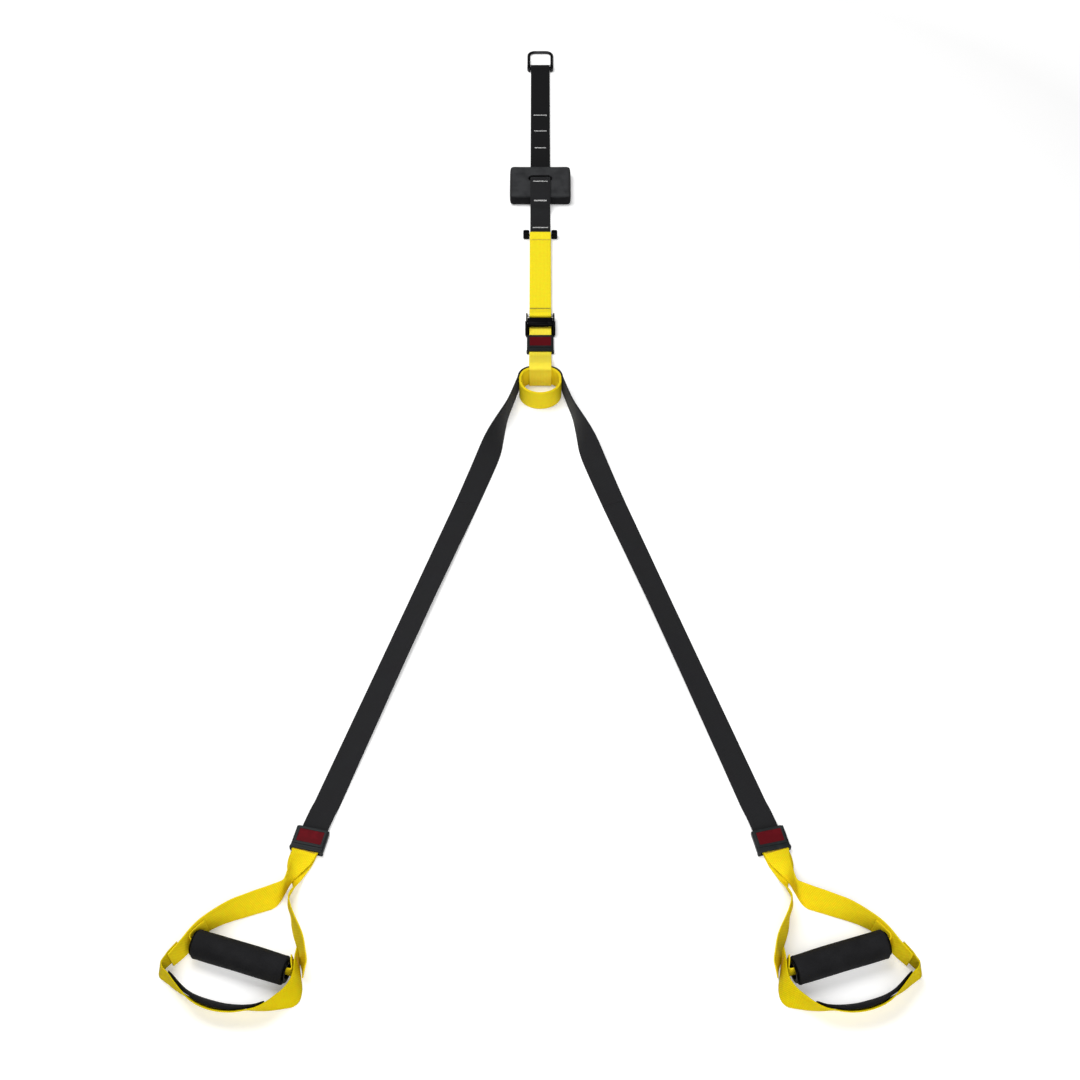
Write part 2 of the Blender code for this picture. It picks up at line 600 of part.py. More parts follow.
def leg_strap(name, side, parent):
    """The leg starts on edge at the loop and rolls flat. The shares are of its length and of a right angle."""
    middle = WEBBING_THICKNESS / 2 + LOOP_CLEARANCE
    end_angle = 180 - BIGHT_END_ANGLE
    bight_end = loop_outline(LOOP_WIDTH / 2 + middle, LOOP_DEPTH / 2 + middle, end_angle, end_angle, 1)[0]
    first = (bight_end[0], bight_end[1] - GAP * 2)
    pivot = np.array(SWING_AT)
    heading = np.array([-math.sin(LEG), -math.cos(LEG)])
    route = [first, tuple(0.5 * (np.array(first) + pivot) + np.array([0.25 * GAP, 0.0])), tuple(pivot)]
    for share in LEG_ROUTE_SHARES:
        route.append(tuple(pivot + heading * LEG_LENGTH * share))
    end = LEG_LENGTH - 0.1 * KEEPER_LENGTH
    route.append(tuple(pivot + heading * end))
    line = smooth_path(route, LEG_STEPS)
    steps = np.concatenate([[0.0], np.cumsum(np.linalg.norm(np.diff(line, axis=0), axis=1))])
    share = steps / steps[-1]
    roll = np.radians(np.interp(share, *np.array(LEG_ROLL_SHARES).T) * 90)
    along = np.gradient(line, axis=0)
    along /= np.linalg.norm(along, axis=1)[:, None]
    outward = np.column_stack([along[:, 1], -along[:, 0]])
    half = WEBBING_WIDTH / 2
    keeper_share = 1 - 1.1 * KEEPER_LENGTH / steps[-1]
    lift = np.interp(share, [0.0, 0.06, keeper_share - 0.02, keeper_share, 1.0],
                     [LOOP_LIFT, EDGE_LIFT, EDGE_LIFT, LEG_LEVEL - WEBBING_THICKNESS / 2, LEG_LEVEL - WEBBING_THICKNESS / 2])
    height = lift + half * np.abs(np.sin(roll)) + WEBBING_THICKNESS / 2 * np.cos(roll)
    top = np.column_stack([line + outward * (half * np.cos(roll))[:, None], height + half * np.sin(roll)])
    bottom = np.column_stack([line - outward * (half * np.cos(roll))[:, None], height - half * np.sin(roll)])
    pairs = np.hstack([top, bottom])
    return ribbon(name, pairs, WEBBING_THICKNESS, (BLACK_WEBBING, 0.85), parent, side)


def handle_width(drop_share):
    """What the shares across the handle are of: the webbing's width in the keeper, and the handle's span below it."""
    in_keeper = WEBBING_WIDTH / KEEPER_SPAN_SHARE
    opened = (drop_share - KEEPER_END_SHARE) / (OPEN_SHARE - KEEPER_END_SHARE)
    return in_keeper + (HANDLE_SPAN - in_keeper) * min(1.0, max(0.0, opened))


def handle_points(shares):
    """Edge points in the handle's frame: along the leg, towards its inner side, and up."""
    points = []
    for (top_a, top_b, top_z), (low_a, low_b, low_z) in shares:
        points.append((top_b * handle_width(top_a), -top_a * HANDLE_DROP, top_z * WEBBING_WIDTH,
                       low_b * handle_width(low_a), -low_a * HANDLE_DROP, low_z * WEBBING_WIDTH))
    return points


LEG_ROUTE_SHARES = (0.03, 0.06, 0.1, 0.16, 0.3, 0.5, 0.7, 0.85, 0.95)
LEG_ROLL_SHARES = ((0.0, 1.0), (0.025, 0.98), (0.05, 0.8), (0.08, 0.58), (0.12, 0.34), (0.17, 0.15), (0.24, 0.03),
                   (0.38, -0.07), (0.5, -0.13), (0.65, -0.12), (0.85, -0.05), (0.93, 0.0), (1.0, 0.0))

# Edge points of the handle's webbing as shares: along the handle's drop, across its span, up the webbing's width.
OUTER_WEB_SHARES = (
    ((0.000, -0.098, 0.187), (0.000, 0.098, 0.187)), ((0.071, -0.098, 0.189), (0.071, 0.098, 0.187)),
    ((0.109, -0.075, 0.316), (0.122, 0.088, 0.184)), ((0.160, -0.049, 0.526), (0.186, 0.049, 0.179)),
    ((0.223, -0.019, 0.797), (0.250, 0.008, 0.105)), ((0.269, -0.004, 0.934), (0.297, -0.005, 0.026)),
    ((0.290, -0.005, 0.947), (0.332, -0.010, 0.016)), ((0.296, -0.030, 0.837), (0.362, -0.018, 0.016)),
    ((0.316, -0.070, 0.811), (0.388, -0.041, 0.016)), ((0.344, -0.115, 0.837), (0.409, -0.082, 0.016)),
    ((0.371, -0.160, 0.876), (0.429, -0.125, 0.016)), ((0.411, -0.228, 0.900), (0.466, -0.201, 0.016)),
    ((0.453, -0.294, 0.942), (0.497, -0.268, 0.016)), ((0.539, -0.390, 1.000), (0.550, -0.370, 0.016)),
    ((0.595, -0.442, 1.013), (0.587, -0.433, 0.016)), ((0.638, -0.470, 1.013), (0.638, -0.469, 0.016)),
    ((0.740, -0.512, 1.013), (0.740, -0.512, 0.016)), ((0.772, -0.528, 1.013), (0.764, -0.523, 0.016)),
    ((0.808, -0.542, 1.013), (0.792, -0.536, 0.016)),
)
INNER_WEB_SHARES = (
    ((0.000, 0.098, 0.062), (0.000, -0.098, 0.062)), ((0.071, 0.098, 0.062), (0.071, -0.098, 0.062)),
    ((0.128, 0.096, 0.068), (0.128, -0.093, 0.053)), ((0.186, 0.080, 0.100), (0.183, -0.062, 0.037)),
    ((0.224, 0.075, 0.211), (0.224, -0.005, 0.032)), ((0.256, 0.070, 0.368), (0.256, 0.031, 0.029)),
    ((0.311, 0.067, 0.711), (0.311, 0.034, 0.018)), ((0.359, 0.080, 0.934), (0.356, 0.060, 0.016)),
    ((0.408, 0.128, 1.005), (0.399, 0.111, 0.016)), ((0.450, 0.189, 0.997), (0.450, 0.153, 0.016)),
    ((0.484, 0.241, 0.987), (0.491, 0.194, 0.016)), ((0.518, 0.290, 0.979), (0.529, 0.241, 0.016)),
    ((0.589, 0.360, 0.979), (0.600, 0.313, 0.016)), ((0.648, 0.412, 0.989), (0.648, 0.368, 0.016)),
    ((0.671, 0.422, 0.995), (0.667, 0.384, 0.016)),
)
FOOT_LOOP_SHARES = (
    ((0.734, -0.534, 1.013), (0.734, -0.534, 0.024)), ((0.812, -0.558, 1.005), (0.814, -0.578, 0.024)),
    ((0.852, -0.562, 0.989), (0.848, -0.602, 0.024)), ((0.871, -0.533, 0.982), (0.864, -0.583, 0.024)),
    ((0.880, -0.501, 0.984), (0.873, -0.547, 0.024)), ((0.898, -0.460, 0.982), (0.883, -0.501, 0.024)),
    ((0.923, -0.401, 0.974), (0.899, -0.434, 0.024)), ((0.952, -0.326, 0.942), (0.912, -0.342, 0.024)),
    ((0.971, -0.261, 0.882), (0.914, -0.249, 0.024)), ((0.980, -0.203, 0.832), (0.912, -0.189, 0.024)),
    ((0.983, -0.146, 0.805), (0.910, -0.144, 0.024)), ((0.981, -0.053, 0.803), (0.907, -0.062, 0.024)),
    ((0.967, 0.045, 0.824), (0.899, 0.021, 0.024)), ((0.942, 0.135, 0.876), (0.888, 0.114, 0.024)),
    ((0.920, 0.202, 0.934), (0.877, 0.187, 0.024)), ((0.891, 0.250, 0.984), (0.863, 0.249, 0.024)),
    ((0.842, 0.297, 0.989), (0.837, 0.338, 0.024)), ((0.790, 0.331, 0.918), (0.810, 0.406, 0.024)),
    ((0.748, 0.344, 0.884), (0.778, 0.426, 0.024)), ((0.707, 0.338, 0.934), (0.724, 0.407, 0.024)),
    ((0.679, 0.323, 0.979), (0.684, 0.369, 0.024)), ((0.638, 0.298, 1.008), (0.641, 0.323, 0.024)),
    ((0.596, 0.283, 1.013), (0.593, 0.281, 0.024)),
)
# The grip's core: each end leaves the grip's middle line and lies along the handle's inside, sewn on there.
CORE_OUTER_SHARES = (
    ((0.588, -0.4185, 0.89), (0.588, -0.4155, 0.12)), ((0.641, -0.4540, 0.89), (0.641, -0.4540, 0.12)),
    ((0.672, -0.4690, 0.88), (0.672, -0.4690, 0.14)), ((0.686, -0.4640, 0.84), (0.686, -0.4640, 0.22)),
    ((0.691, -0.4500, 0.81), (0.691, -0.4500, 0.29)),
)
CORE_INNER_SHARES = (
    ((0.691, 0.294, 0.81), (0.691, 0.294, 0.29)), ((0.690, 0.307, 0.81), (0.690, 0.307, 0.28)),
    ((0.684, 0.317, 0.82), (0.684, 0.326, 0.26)), ((0.670, 0.306, 0.82), (0.667, 0.329, 0.21)),
    ((0.651, 0.291, 0.87), (0.646, 0.309, 0.16)), ((0.628, 0.279, 0.895), (0.620, 0.289, 0.13)),
)


def grip_group(word, side, parent):
    """A foam sleeve on a tube that spins on the folded webbing core, with a flanged cap at each end."""
    centre = (-side * GRIP_OFFSET, -GRIP_FROM_KEEPER, GRIP_HEIGHT)
    turn = (0.0, math.pi / 2, 0.0)
    half = GRIP_LENGTH / 2
    inner = TUBE_RADIUS + GAP
    foam = [(GRIP_RADIUS - GAP * 5, half), (GRIP_RADIUS, half - GAP * 5), (GRIP_RADIUS, -half + GAP * 5),
            (GRIP_RADIUS - GAP * 5, -half), (inner, -half), (inner, half)]
    turned(f"grip_foam_{word}", foam, centre, (FOAM, 0.8), parent, turn)
    tube_in = TUBE_RADIUS - TUBE_WALL
    tube = [(TUBE_RADIUS, half), (TUBE_RADIUS, -half), (tube_in, -half), (tube_in, half)]
    turned(f"grip_tube_{word}", tube, centre, ((0.5, 0.5, 0.5), 0.4), parent, turn)
    spigot = tube_in - GAP
    bore = spigot - CAP_WALL
    for end, way in (("outer", -side), ("inner", side)):
        cap = [(bore, -CAP_SPIGOT), (spigot, -CAP_SPIGOT), (spigot, GAP), (CAP_RADIUS, GAP),
               (CAP_RADIUS, CAP_FLANGE - 4 * GAP), (CAP_RADIUS - 4 * GAP, CAP_FLANGE), (bore, CAP_FLANGE)]
        turned(f"grip_cap_{end}_{word}", cap[::-1], (centre[0] + way * half, centre[1], centre[2]),
               (BLACK_PLASTIC, 0.5), parent, (0.0, way * math.pi / 2, 0.0))
    low, high = GRIP_HEIGHT - CORE_WIDTH / 2, GRIP_HEIGHT + CORE_WIDTH / 2
    inside = [(-GRIP_OFFSET + way * half, -GRIP_FROM_KEEPER) for way in (-0.9, 0.0, 0.9)]
    pairs = handle_points(CORE_OUTER_SHARES)
    pairs += [(x, y, high, x, y, low) for x, y in inside]
    pairs += handle_points(CORE_INNER_SHARES)
    ribbon(f"grip_core_{word}", pairs, WEBBING_THICKNESS, (YELLOW, 0.7), parent, side)


def handle_group(word, side, parent):
    outer, inner = handle_points(OUTER_WEB_SHARES), handle_points(INNER_WEB_SHARES)
    foot = handle_points(FOOT_LOOP_SHARES)
    yellow = (YELLOW, 0.7)
    ribbon(f"handle_web_outer_{word}", outer, WEBBING_THICKNESS, yellow, parent, side)
    ribbon(f"handle_web_inner_{word}", inner, WEBBING_THICKNESS, yellow, parent, side)
    ribbon(f"foot_loop_{word}", foot, WEBBING_THICKNESS, yellow, parent, side)
    pad = []
    for x1, y1, z1, x2, y2, z2 in foot[PAD_STATIONS]:
        top, low = np.array([x1, y1, z1]), np.array([x2, y2, z2])
        pad.append((*(top + (low - top) * 0.06), *(low + (top - low) * 0.06)))
    away = -(WEBBING_THICKNESS / 2 + 4 * GAP + FOOT_PAD_THICKNESS / 2)
    ribbon(f"foot_pad_{word}", pad, FOOT_PAD_THICKNESS, (FOAM, 0.8), parent, side, PAD_SIDE * away)
    grip_group(word, side, parent)


SIDES = (("left", 1), ("right", -1))
PAD_SIDE = 1
PAD_STATIONS = slice(4, 16)
LEG = math.radians(LEG_ANGLE)
SWING_AT = (-SWING_OUT, -SWING_DOWN)

# Levels of the plies above the floor
UNDER_LEVEL = KEEPER_WALL + GAP * 2 + WEBBING_THICKNESS / 2
ADJUSTER_LEVEL = UNDER_LEVEL + WEBBING_THICKNESS + GAP
INNER_WEB_LEVEL = 0.062 * WEBBING_WIDTH
GRIP_LENGTH = GRIP_LENGTH_SHARE * HANDLE_SPAN
GRIP_OFFSET = GRIP_OFFSET_SHARE * HANDLE_SPAN
GRIP_FROM_KEEPER = GRIP_DROP_SHARE * HANDLE_DROP
LEG_LEVEL = INNER_WEB_LEVEL + WEBBING_THICKNESS + GAP
HANDLE_KEEPER_TOP = 0.187 * WEBBING_WIDTH + WEBBING_THICKNESS / 2 + 2 * GAP + KEEPER_WALL
LOOP_LIFT = EDGE_LIFT + WEBBING_THICKNESS + 2 * GAP

# Eyes and pins along the middle line, in Y and Z
RING_EYE_RADIUS = RING_WIRE / 2 + GAP + WEBBING_THICKNESS
LINK_EYE_RADIUS = LINK_BAR_RADIUS + GAP + WEBBING_THICKNESS
BUCKLE_EYE_RADIUS = BUCKLE_BAR_RADIUS + GAP + WEBBING_THICKNESS
BUCKLE_EYE = (LOOP_TO_KEEPER + KEEPER_LENGTH + 4 * GAP + BUCKLE_LENGTH - BUCKLE_BAR_INSET,
              ADJUSTER_LEVEL + WEBBING_THICKNESS / 2 + GAP + BUCKLE_EYE_RADIUS)
LINK_REAR_Z = EDGE_LIFT + LINK_EYE_RADIUS
LINK_RISE = math.sqrt((2 * LINK_EYE_RADIUS + GAP) ** 2 - LINK_BAR_SPACING**2)
LINK_FRONT = (BUCKLE_EYE[0] + MAIN_STRAP_LENGTH, LINK_REAR_Z + LINK_RISE)
LINK_REAR = (LINK_FRONT[0] + LINK_BAR_SPACING, LINK_REAR_Z)
RING_EYE = (LINK_REAR[0] + ANCHOR_LENGTH, EDGE_LIFT + RING_EYE_RADIUS)
PAD_HIGH = LINK_REAR[0] + PAD_HIGH_SHARE * ANCHOR_LENGTH
PAD_LOW = PAD_HIGH - PAD_LENGTH
PAD_SLOT = PAD_HIGH - PAD_SLOT_FROM_TOP
CAM_PIN = (BUCKLE_EYE[0] + BUCKLE_BAR_INSET - CAM_PIN_INSET,
           ADJUSTER_LEVEL + WEBBING_THICKNESS / 2 + GAP + CAM_DRUM_RADIUS)
CAM_ROOM = BUCKLE_WIDTH - 2 * BUCKLE_CHEEK - 2 * GAP
SPRING_ROOM = CAM_ROOM - CAM_WIDTH - GAP
CAM_SHIFT = -(CAM_ROOM - CAM_WIDTH) / 2
SPRING_X = CAM_ROOM / 2 - SPRING_ROOM / 2

clear_scene()
PARTS = make_collection("suspension_trainer")
CUTTERS = make_collection("cutters")
ORIGIN = make_empty("trainer_origin")
hanging_ring(ORIGIN)
anchor_group(ORIGIN)
link_group(ORIGIN)
main_strap(ORIGIN)
buckle_group(ORIGIN)
adjuster_group(ORIGIN)
for side_word, side_sign in SIDES:
    leg_strap(f"leg_strap_{side_word}", side_sign, ORIGIN)
    reach_x = side_sign * (SWING_AT[0] - LEG_LENGTH * math.sin(LEG))
    reach_y = SWING_AT[1] - LEG_LENGTH * math.cos(LEG)
    handle = make_empty(f"handle_{side_word}", (reach_x, reach_y, 0.0), -side_sign * LEG, ORIGIN)
    keeper(f"keeper_{side_word}", handle, (0.0, 0.0), (0.0, HANDLE_KEEPER_TOP), f"plate_{side_word}")
    handle_group(side_word, side_sign, handle)

# The origin goes to the middle of the trainer's footprint.
bpy.context.view_layer.update()
graph = bpy.context.evaluated_depsgraph_get()
along = []
for thing in PARTS.objects:
    if thing.type != "EMPTY":
        shape = thing.evaluated_get(graph)
        along += [(shape.matrix_world @ corner.co).y for corner in shape.to_mesh().vertices]
        shape.to_mesh_clear()
ORIGIN.location = (0.0, -(min(along) + max(along)) / 2, 0.0)
bpy.context.view_layer.update()
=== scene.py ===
import math

import bmesh
import bpy
import numpy as np
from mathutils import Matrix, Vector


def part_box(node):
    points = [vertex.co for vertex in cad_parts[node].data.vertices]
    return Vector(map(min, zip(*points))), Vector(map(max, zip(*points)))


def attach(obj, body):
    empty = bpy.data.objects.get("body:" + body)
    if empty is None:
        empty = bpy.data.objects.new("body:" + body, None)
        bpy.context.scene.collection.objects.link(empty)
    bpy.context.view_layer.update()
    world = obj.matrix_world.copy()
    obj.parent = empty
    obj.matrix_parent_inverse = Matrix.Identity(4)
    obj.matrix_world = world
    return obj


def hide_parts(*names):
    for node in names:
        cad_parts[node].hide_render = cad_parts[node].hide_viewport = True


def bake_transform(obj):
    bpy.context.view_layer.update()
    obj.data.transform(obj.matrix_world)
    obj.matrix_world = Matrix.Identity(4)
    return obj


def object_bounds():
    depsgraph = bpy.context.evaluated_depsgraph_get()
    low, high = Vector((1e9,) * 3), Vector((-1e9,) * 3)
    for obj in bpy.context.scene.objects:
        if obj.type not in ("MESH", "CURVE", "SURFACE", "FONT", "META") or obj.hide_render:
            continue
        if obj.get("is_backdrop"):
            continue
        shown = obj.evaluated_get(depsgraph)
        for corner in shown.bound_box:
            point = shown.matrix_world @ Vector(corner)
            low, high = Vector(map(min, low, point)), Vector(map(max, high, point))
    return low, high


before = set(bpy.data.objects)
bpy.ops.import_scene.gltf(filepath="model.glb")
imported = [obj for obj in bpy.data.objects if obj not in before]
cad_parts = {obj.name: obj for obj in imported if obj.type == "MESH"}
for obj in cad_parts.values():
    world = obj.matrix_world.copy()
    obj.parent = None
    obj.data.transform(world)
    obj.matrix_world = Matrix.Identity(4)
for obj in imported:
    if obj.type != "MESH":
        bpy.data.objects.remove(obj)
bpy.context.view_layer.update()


# ---- The studio -------------------------------------------------------------------------------------------
# A white floor under plain soft light, seen from the handle end at fifty degrees above the floor.
# The trainer lies with its ring at the far end, along the world's Y axis.

def put_in_scene(name, data):
    """A new object with the given data, linked to the scene."""
    thing = bpy.data.objects.new(name, data)
    bpy.context.scene.collection.objects.link(thing)
    return thing


def new_nodes(tree, kinds):
    return [tree.nodes.new("ShaderNode" + kind) for kind in kinds.split()]


def set_sockets(node, **values):
    """Constant values on a node's inputs. An underscore stands for a space in the name."""
    for name, value in values.items():
        node.inputs[name.replace("_", " ")].default_value = value


def wire(tree, *joins):
    """Links, each given as a node, its output, the next node and its input."""
    for source, output, target, entry in joins:
        tree.links.new(source.outputs[output], target.inputs[entry])


def new_material(name, kinds, **values):
    """A material, its tree, its Principled shader with the given values, and new nodes of the given kinds."""
    material = bpy.data.materials.new(name)
    material.use_nodes = True
    tree = material.node_tree
    set_sockets(tree.nodes["Principled BSDF"], **values)
    return material, tree, tree.nodes["Principled BSDF"], *new_nodes(tree, kinds)


def studio_camera(target, distance, elevation, focal, shift_x):
    """The camera stands straight behind the target at the given elevation and looks at it."""
    lens = bpy.data.cameras.new("studio_camera")
    lens.lens, lens.sensor_width, lens.shift_x = focal, 36.0, shift_x
    camera = put_in_scene("studio_camera", lens)
    lean = math.radians(elevation)
    camera.location = (target[0], target[1] - distance * math.cos(lean), target[2] + distance * math.sin(lean))
    camera.rotation_euler = (math.pi / 2 - lean, 0.0, 0.0)
    bpy.context.scene.camera = camera


def soft_lamp(name, place, aim, side, watts):
    """A square lamp at a place, turned towards the point that it aims at."""
    data = bpy.data.lights.new(name, "AREA")
    data.shape, data.size, data.energy = "SQUARE", side, watts
    lamp = put_in_scene(name, data)
    lamp.location = place
    way = np.array(place, float) - np.array(aim, float)
    lamp.rotation_euler = (math.atan2(math.hypot(way[0], way[1]), way[2]), 0.0,
                           math.atan2(way[1], way[0]) + math.pi / 2)


def studio_floor(span):
    """A flat grid at floor level. It is white, and it is lifted to full white only where it is seen directly,
    the more the farther out, where the lamps no longer reach it."""
    grid = np.linspace(-span / 2, span / 2, 9)
    across, along = np.meshgrid(grid, grid, indexing="ij")
    points = np.column_stack([across.ravel(), along.ravel(), np.zeros(across.size)])
    corner = (np.arange(8)[:, None] * 9 + np.arange(8)[None, :]).ravel()
    mesh = bpy.data.meshes.new("studio_floor")
    mesh.from_pydata(points.tolist(), [], np.column_stack([corner, corner + 9, corner + 10, corner + 1]).tolist())
    material, tree, paper, path, seen, glow, both, place, reach, far, lift = new_material(
        "studio_floor", "LightPath Math Emission AddShader TexCoord VectorMath MapRange Math",
        Base_Color=(0.86, 0.86, 0.86, 1.0), Roughness=0.95, Specular_IOR_Level=0.0)
    seen.operation, reach.operation, lift.operation = "MAXIMUM", "LENGTH", "MULTIPLY"
    set_sockets(far, From_Min=1.35, From_Max=2.7, To_Min=0.25, To_Max=1.2)
    wire(tree, (path, "Is Camera Ray", seen, 0), (path, "Is Glossy Ray", seen, 1), (place, "Object", reach, 0),
         (reach, "Value", far, "Value"), (far, "Result", lift, 0), (seen, 0, lift, 1), (lift, 0, glow, "Strength"),
         (paper, 0, both, 0), (glow, 0, both, 1), (both, 0, tree.nodes["Material Output"], "Surface"))
    mesh.materials.append(material)
    put_in_scene("studio_floor", mesh)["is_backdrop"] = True


def studio_sky(level):
    """The surroundings give an even light at the given level, and are white where they are seen."""
    world = bpy.data.worlds.new("studio_sky")
    bpy.context.scene.world = world
    world.use_nodes = True
    sky = world.node_tree.nodes["Background"]
    path, seen, pick = new_nodes(world.node_tree, "LightPath Math MapRange")
    seen.operation = "MAXIMUM"
    set_sockets(pick, To_Min=level, To_Max=1.0)
    set_sockets(sky, Color=(1.0, 1.0, 1.0, 1.0))
    wire(world.node_tree, (path, "Is Camera Ray", seen, 0), (path, "Is Transmission Ray", seen, 1),
         (seen, 0, pick, "Value"), (pick, "Result", sky, "Strength"))


loop_low, loop_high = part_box("locking_loop")
LOOP_Y = (loop_low.y + loop_high.y) / 2          # the middle of the locking loop, which every length starts from
studio_camera((0.0, LOOP_Y - 0.316, 0.0), 3.623, 50.0, 75.8, -0.3 / 1080)
soft_lamp("lamp_overhead", (-0.9, 0.6, 3.0), (0.0, 0.0, 0.0), 2.4, 110.0)
soft_lamp("lamp_front", (0.4, -3.0, 1.7), (0.0, -0.3, 0.0), 2.2, 78.0)
studio_floor(14.0)
studio_sky(0.0407)
bpy.context.scene.view_settings.view_transform = "Standard"


# ---- Hanging ring -----------------------------------------------------------------------------------------
# A ring bent from round steel wire, with a straight base bar and rounded top corners, coated dark.
# Its far side rests on the floor and its base bar lies in the anchor strap's eye.

def unit(rows):
    """Each row of coordinates made one long."""
    rows = np.asarray(rows, float)
    return rows / np.linalg.norm(rows, axis=-1, keepdims=True)


def full_turn(count):
    return np.linspace(0, 2 * np.pi, count, endpoint=False)


def grid_faces(rows, columns, around=True, closed=False):
    """Quads between neighbouring rows and columns of a grid of points, joined round its columns and along its rows
    if asked."""
    row = np.arange(rows if closed else rows - 1)[:, None]
    column = np.arange(columns if around else columns - 1)[None, :]
    after, beside = (row + 1) % rows, (column + 1) % columns
    corners = (row * columns + column, row * columns + beside, after * columns + beside, after * columns + column)
    return np.stack([c.ravel() for c in corners], axis=1)


def tube_faces(rows, columns):
    """The quads of a tube, and one many-sided face at each of its ends."""
    last = rows * columns - 1
    return grid_faces(rows, columns).tolist() + [list(range(columns)), list(range(last, last - columns, -1))]


def facing_outwards(piece, weld=None):
    """The piece with its faces turned to point outwards, after points nearer than the weld distance are made one."""
    shell = bmesh.new()
    shell.from_mesh(piece.data)
    if weld:
        bmesh.ops.remove_doubles(shell, verts=shell.verts, dist=weld)
    bmesh.ops.recalc_face_normals(shell, faces=shell.faces)
    shell.to_mesh(piece.data)
    shell.free()
    return piece


def add_piece(name, shape, material, uv=None, weld=None):
    """A mesh of the shape's points and faces, shaded smooth but for its many-sided ends, with its material."""
    points, faces = shape
    mesh = bpy.data.meshes.new(name)
    mesh.from_pydata(np.asarray(points).tolist(), [], [tuple(face) for face in faces])
    mesh.polygons.foreach_set("use_smooth", [len(face) <= 4 for face in faces])
    if uv is not None:
        corner = np.empty(len(mesh.loops), np.int32)
        mesh.loops.foreach_get("vertex_index", corner)
        layer = mesh.uv_layers.new(name="surface")
        layer.data.foreach_set("uv", np.asarray(uv, np.float32)[corner].ravel())
    mesh.materials.append(material)
    mesh.update()
    return facing_outwards(put_in_scene(name, mesh), weld)


def add_part(name, shape, material, slot, body, *nodes, weld=None):
    """A piece that rides a body and stands for the given nodes."""
    piece = add_piece(name, shape, material, weld=weld)
    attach(piece, body)
    if nodes:
        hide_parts(*nodes)
    return piece


def wire_surface(path, radius, sides, closed):
    """A circle of the given radius carried square to a path. Its points are radius times the cosine of the angle along
    one direction square to the path, and radius times the sine along the other. Open ends close in a shrinking ring."""
    path = np.asarray(path, float)
    radii = np.full(len(path), radius)
    if not closed:
        back, ahead = unit(path[0] - path[1]), unit(path[-1] - path[-2])
        path = np.vstack([path[0] + back * 0.15 * radius, path, path[-1] + ahead * 0.15 * radius])
        radii = np.concatenate([[0.72 * radius], radii, [0.72 * radius]])
    ahead = np.roll(path, -1, axis=0) - np.roll(path, 1, axis=0)
    if not closed:
        ahead[0], ahead[-1] = path[1] - path[0], path[-1] - path[-2]
    ahead = unit(ahead)
    side = unit(np.cross(ahead, np.eye(3)[int(np.argmin(np.abs(ahead).mean(axis=0)))]))
    up = np.cross(ahead, side)
    angle = full_turn(sides)
    ring = side[:, None, :] * np.cos(angle)[None, :, None] + up[:, None, :] * np.sin(angle)[None, :, None]
    points = (path[:, None, :] + ring * radii[:, None, None]).reshape(-1, 3)
    return points, grid_faces(len(path), sides, True, True).tolist() if closed else tube_faces(len(path), sides)


def rounded_corner(centre, radius, start, end, count):
    """Points on an arc about a centre, with its angles in degrees."""
    angle = np.radians(np.linspace(start, end, count))
    return np.column_stack([centre[0] + radius * np.cos(angle), centre[1] + radius * np.sin(angle)])


def grained_material(name, kinds, strength, depth, roughness, **values):
    """A new material with Object coordinates, a bump of the given strength and depth, and a range for its roughness;
    the last two are joined to the shader."""
    material, tree, shader, place, bump, rough, *others = new_material(
        name, "TexCoord Bump MapRange " + kinds, **values)
    set_sockets(bump, Strength=strength, Distance=depth)
    set_sockets(rough, To_Min=roughness[0], To_Max=roughness[1])
    wire(tree, (bump, "Normal", shader, "Normal"), (rough, "Result", shader, "Roughness"))
    return material, tree, shader, place, bump, rough, *others


def coated_steel(name, colour, roughness):
    """Steel under a thin dark coat: fine grain in the bump, and small bright rubs where Noise peaks."""
    material, tree, steel, place, bump, rough, rub, pick, grain = grained_material(
        name, "TexNoise ValToRGB TexNoise", 0.12, 0.0002, (roughness - 0.08, roughness + 0.10),
        Metallic=1.0, Specular_IOR_Level=0.5)
    set_sockets(rub, Scale=260.0, Detail=4.0)
    set_sockets(grain, Scale=2200.0)
    for stop, position, share in zip(pick.color_ramp.elements, (0.60, 0.80), (1.0, 3.2)):
        stop.position, stop.color = position, (*(share * c for c in colour), 1.0)
    wire(tree, (place, "Object", rub, "Vector"), (place, "Object", grain, "Vector"), (rub, "Fac", pick, "Fac"),
         (pick, "Color", steel, "Base Color"), (grain, "Fac", rough, "Value"), (grain, "Fac", bump, "Height"))
    return material


def slab(outline, x_low, x_high, edge, steps=4):
    """An outline in Y and Z carried along X, with round rims: near each end the outline is drawn in, square to itself,
    by the edge radius times one less the sine of a quarter turn's share, while X moves with its cosine."""
    outline = np.asarray(outline, float)
    before, after = np.roll(outline, 1, axis=0), np.roll(outline, -1, axis=0)
    ahead = unit(after - before)
    turn_sign = np.sign(np.sum(outline[:, 0] * after[:, 1] - outline[:, 1] * after[:, 0]))
    inward = np.column_stack([-ahead[:, 1], ahead[:, 0]]) * turn_sign
    lean = np.linspace(0, np.pi / 2, steps)
    drawn, moved = edge * (1 - np.sin(lean)), edge * (1 - np.cos(lean))
    rows = [np.column_stack([np.full(len(outline), x), outline + inward * d]) for x, d in
            zip([*(x_low + moved), *(x_high - moved)[::-1]], [*drawn, *drawn[::-1]])]
    return np.vstack(rows), tube_faces(len(rows), len(outline))


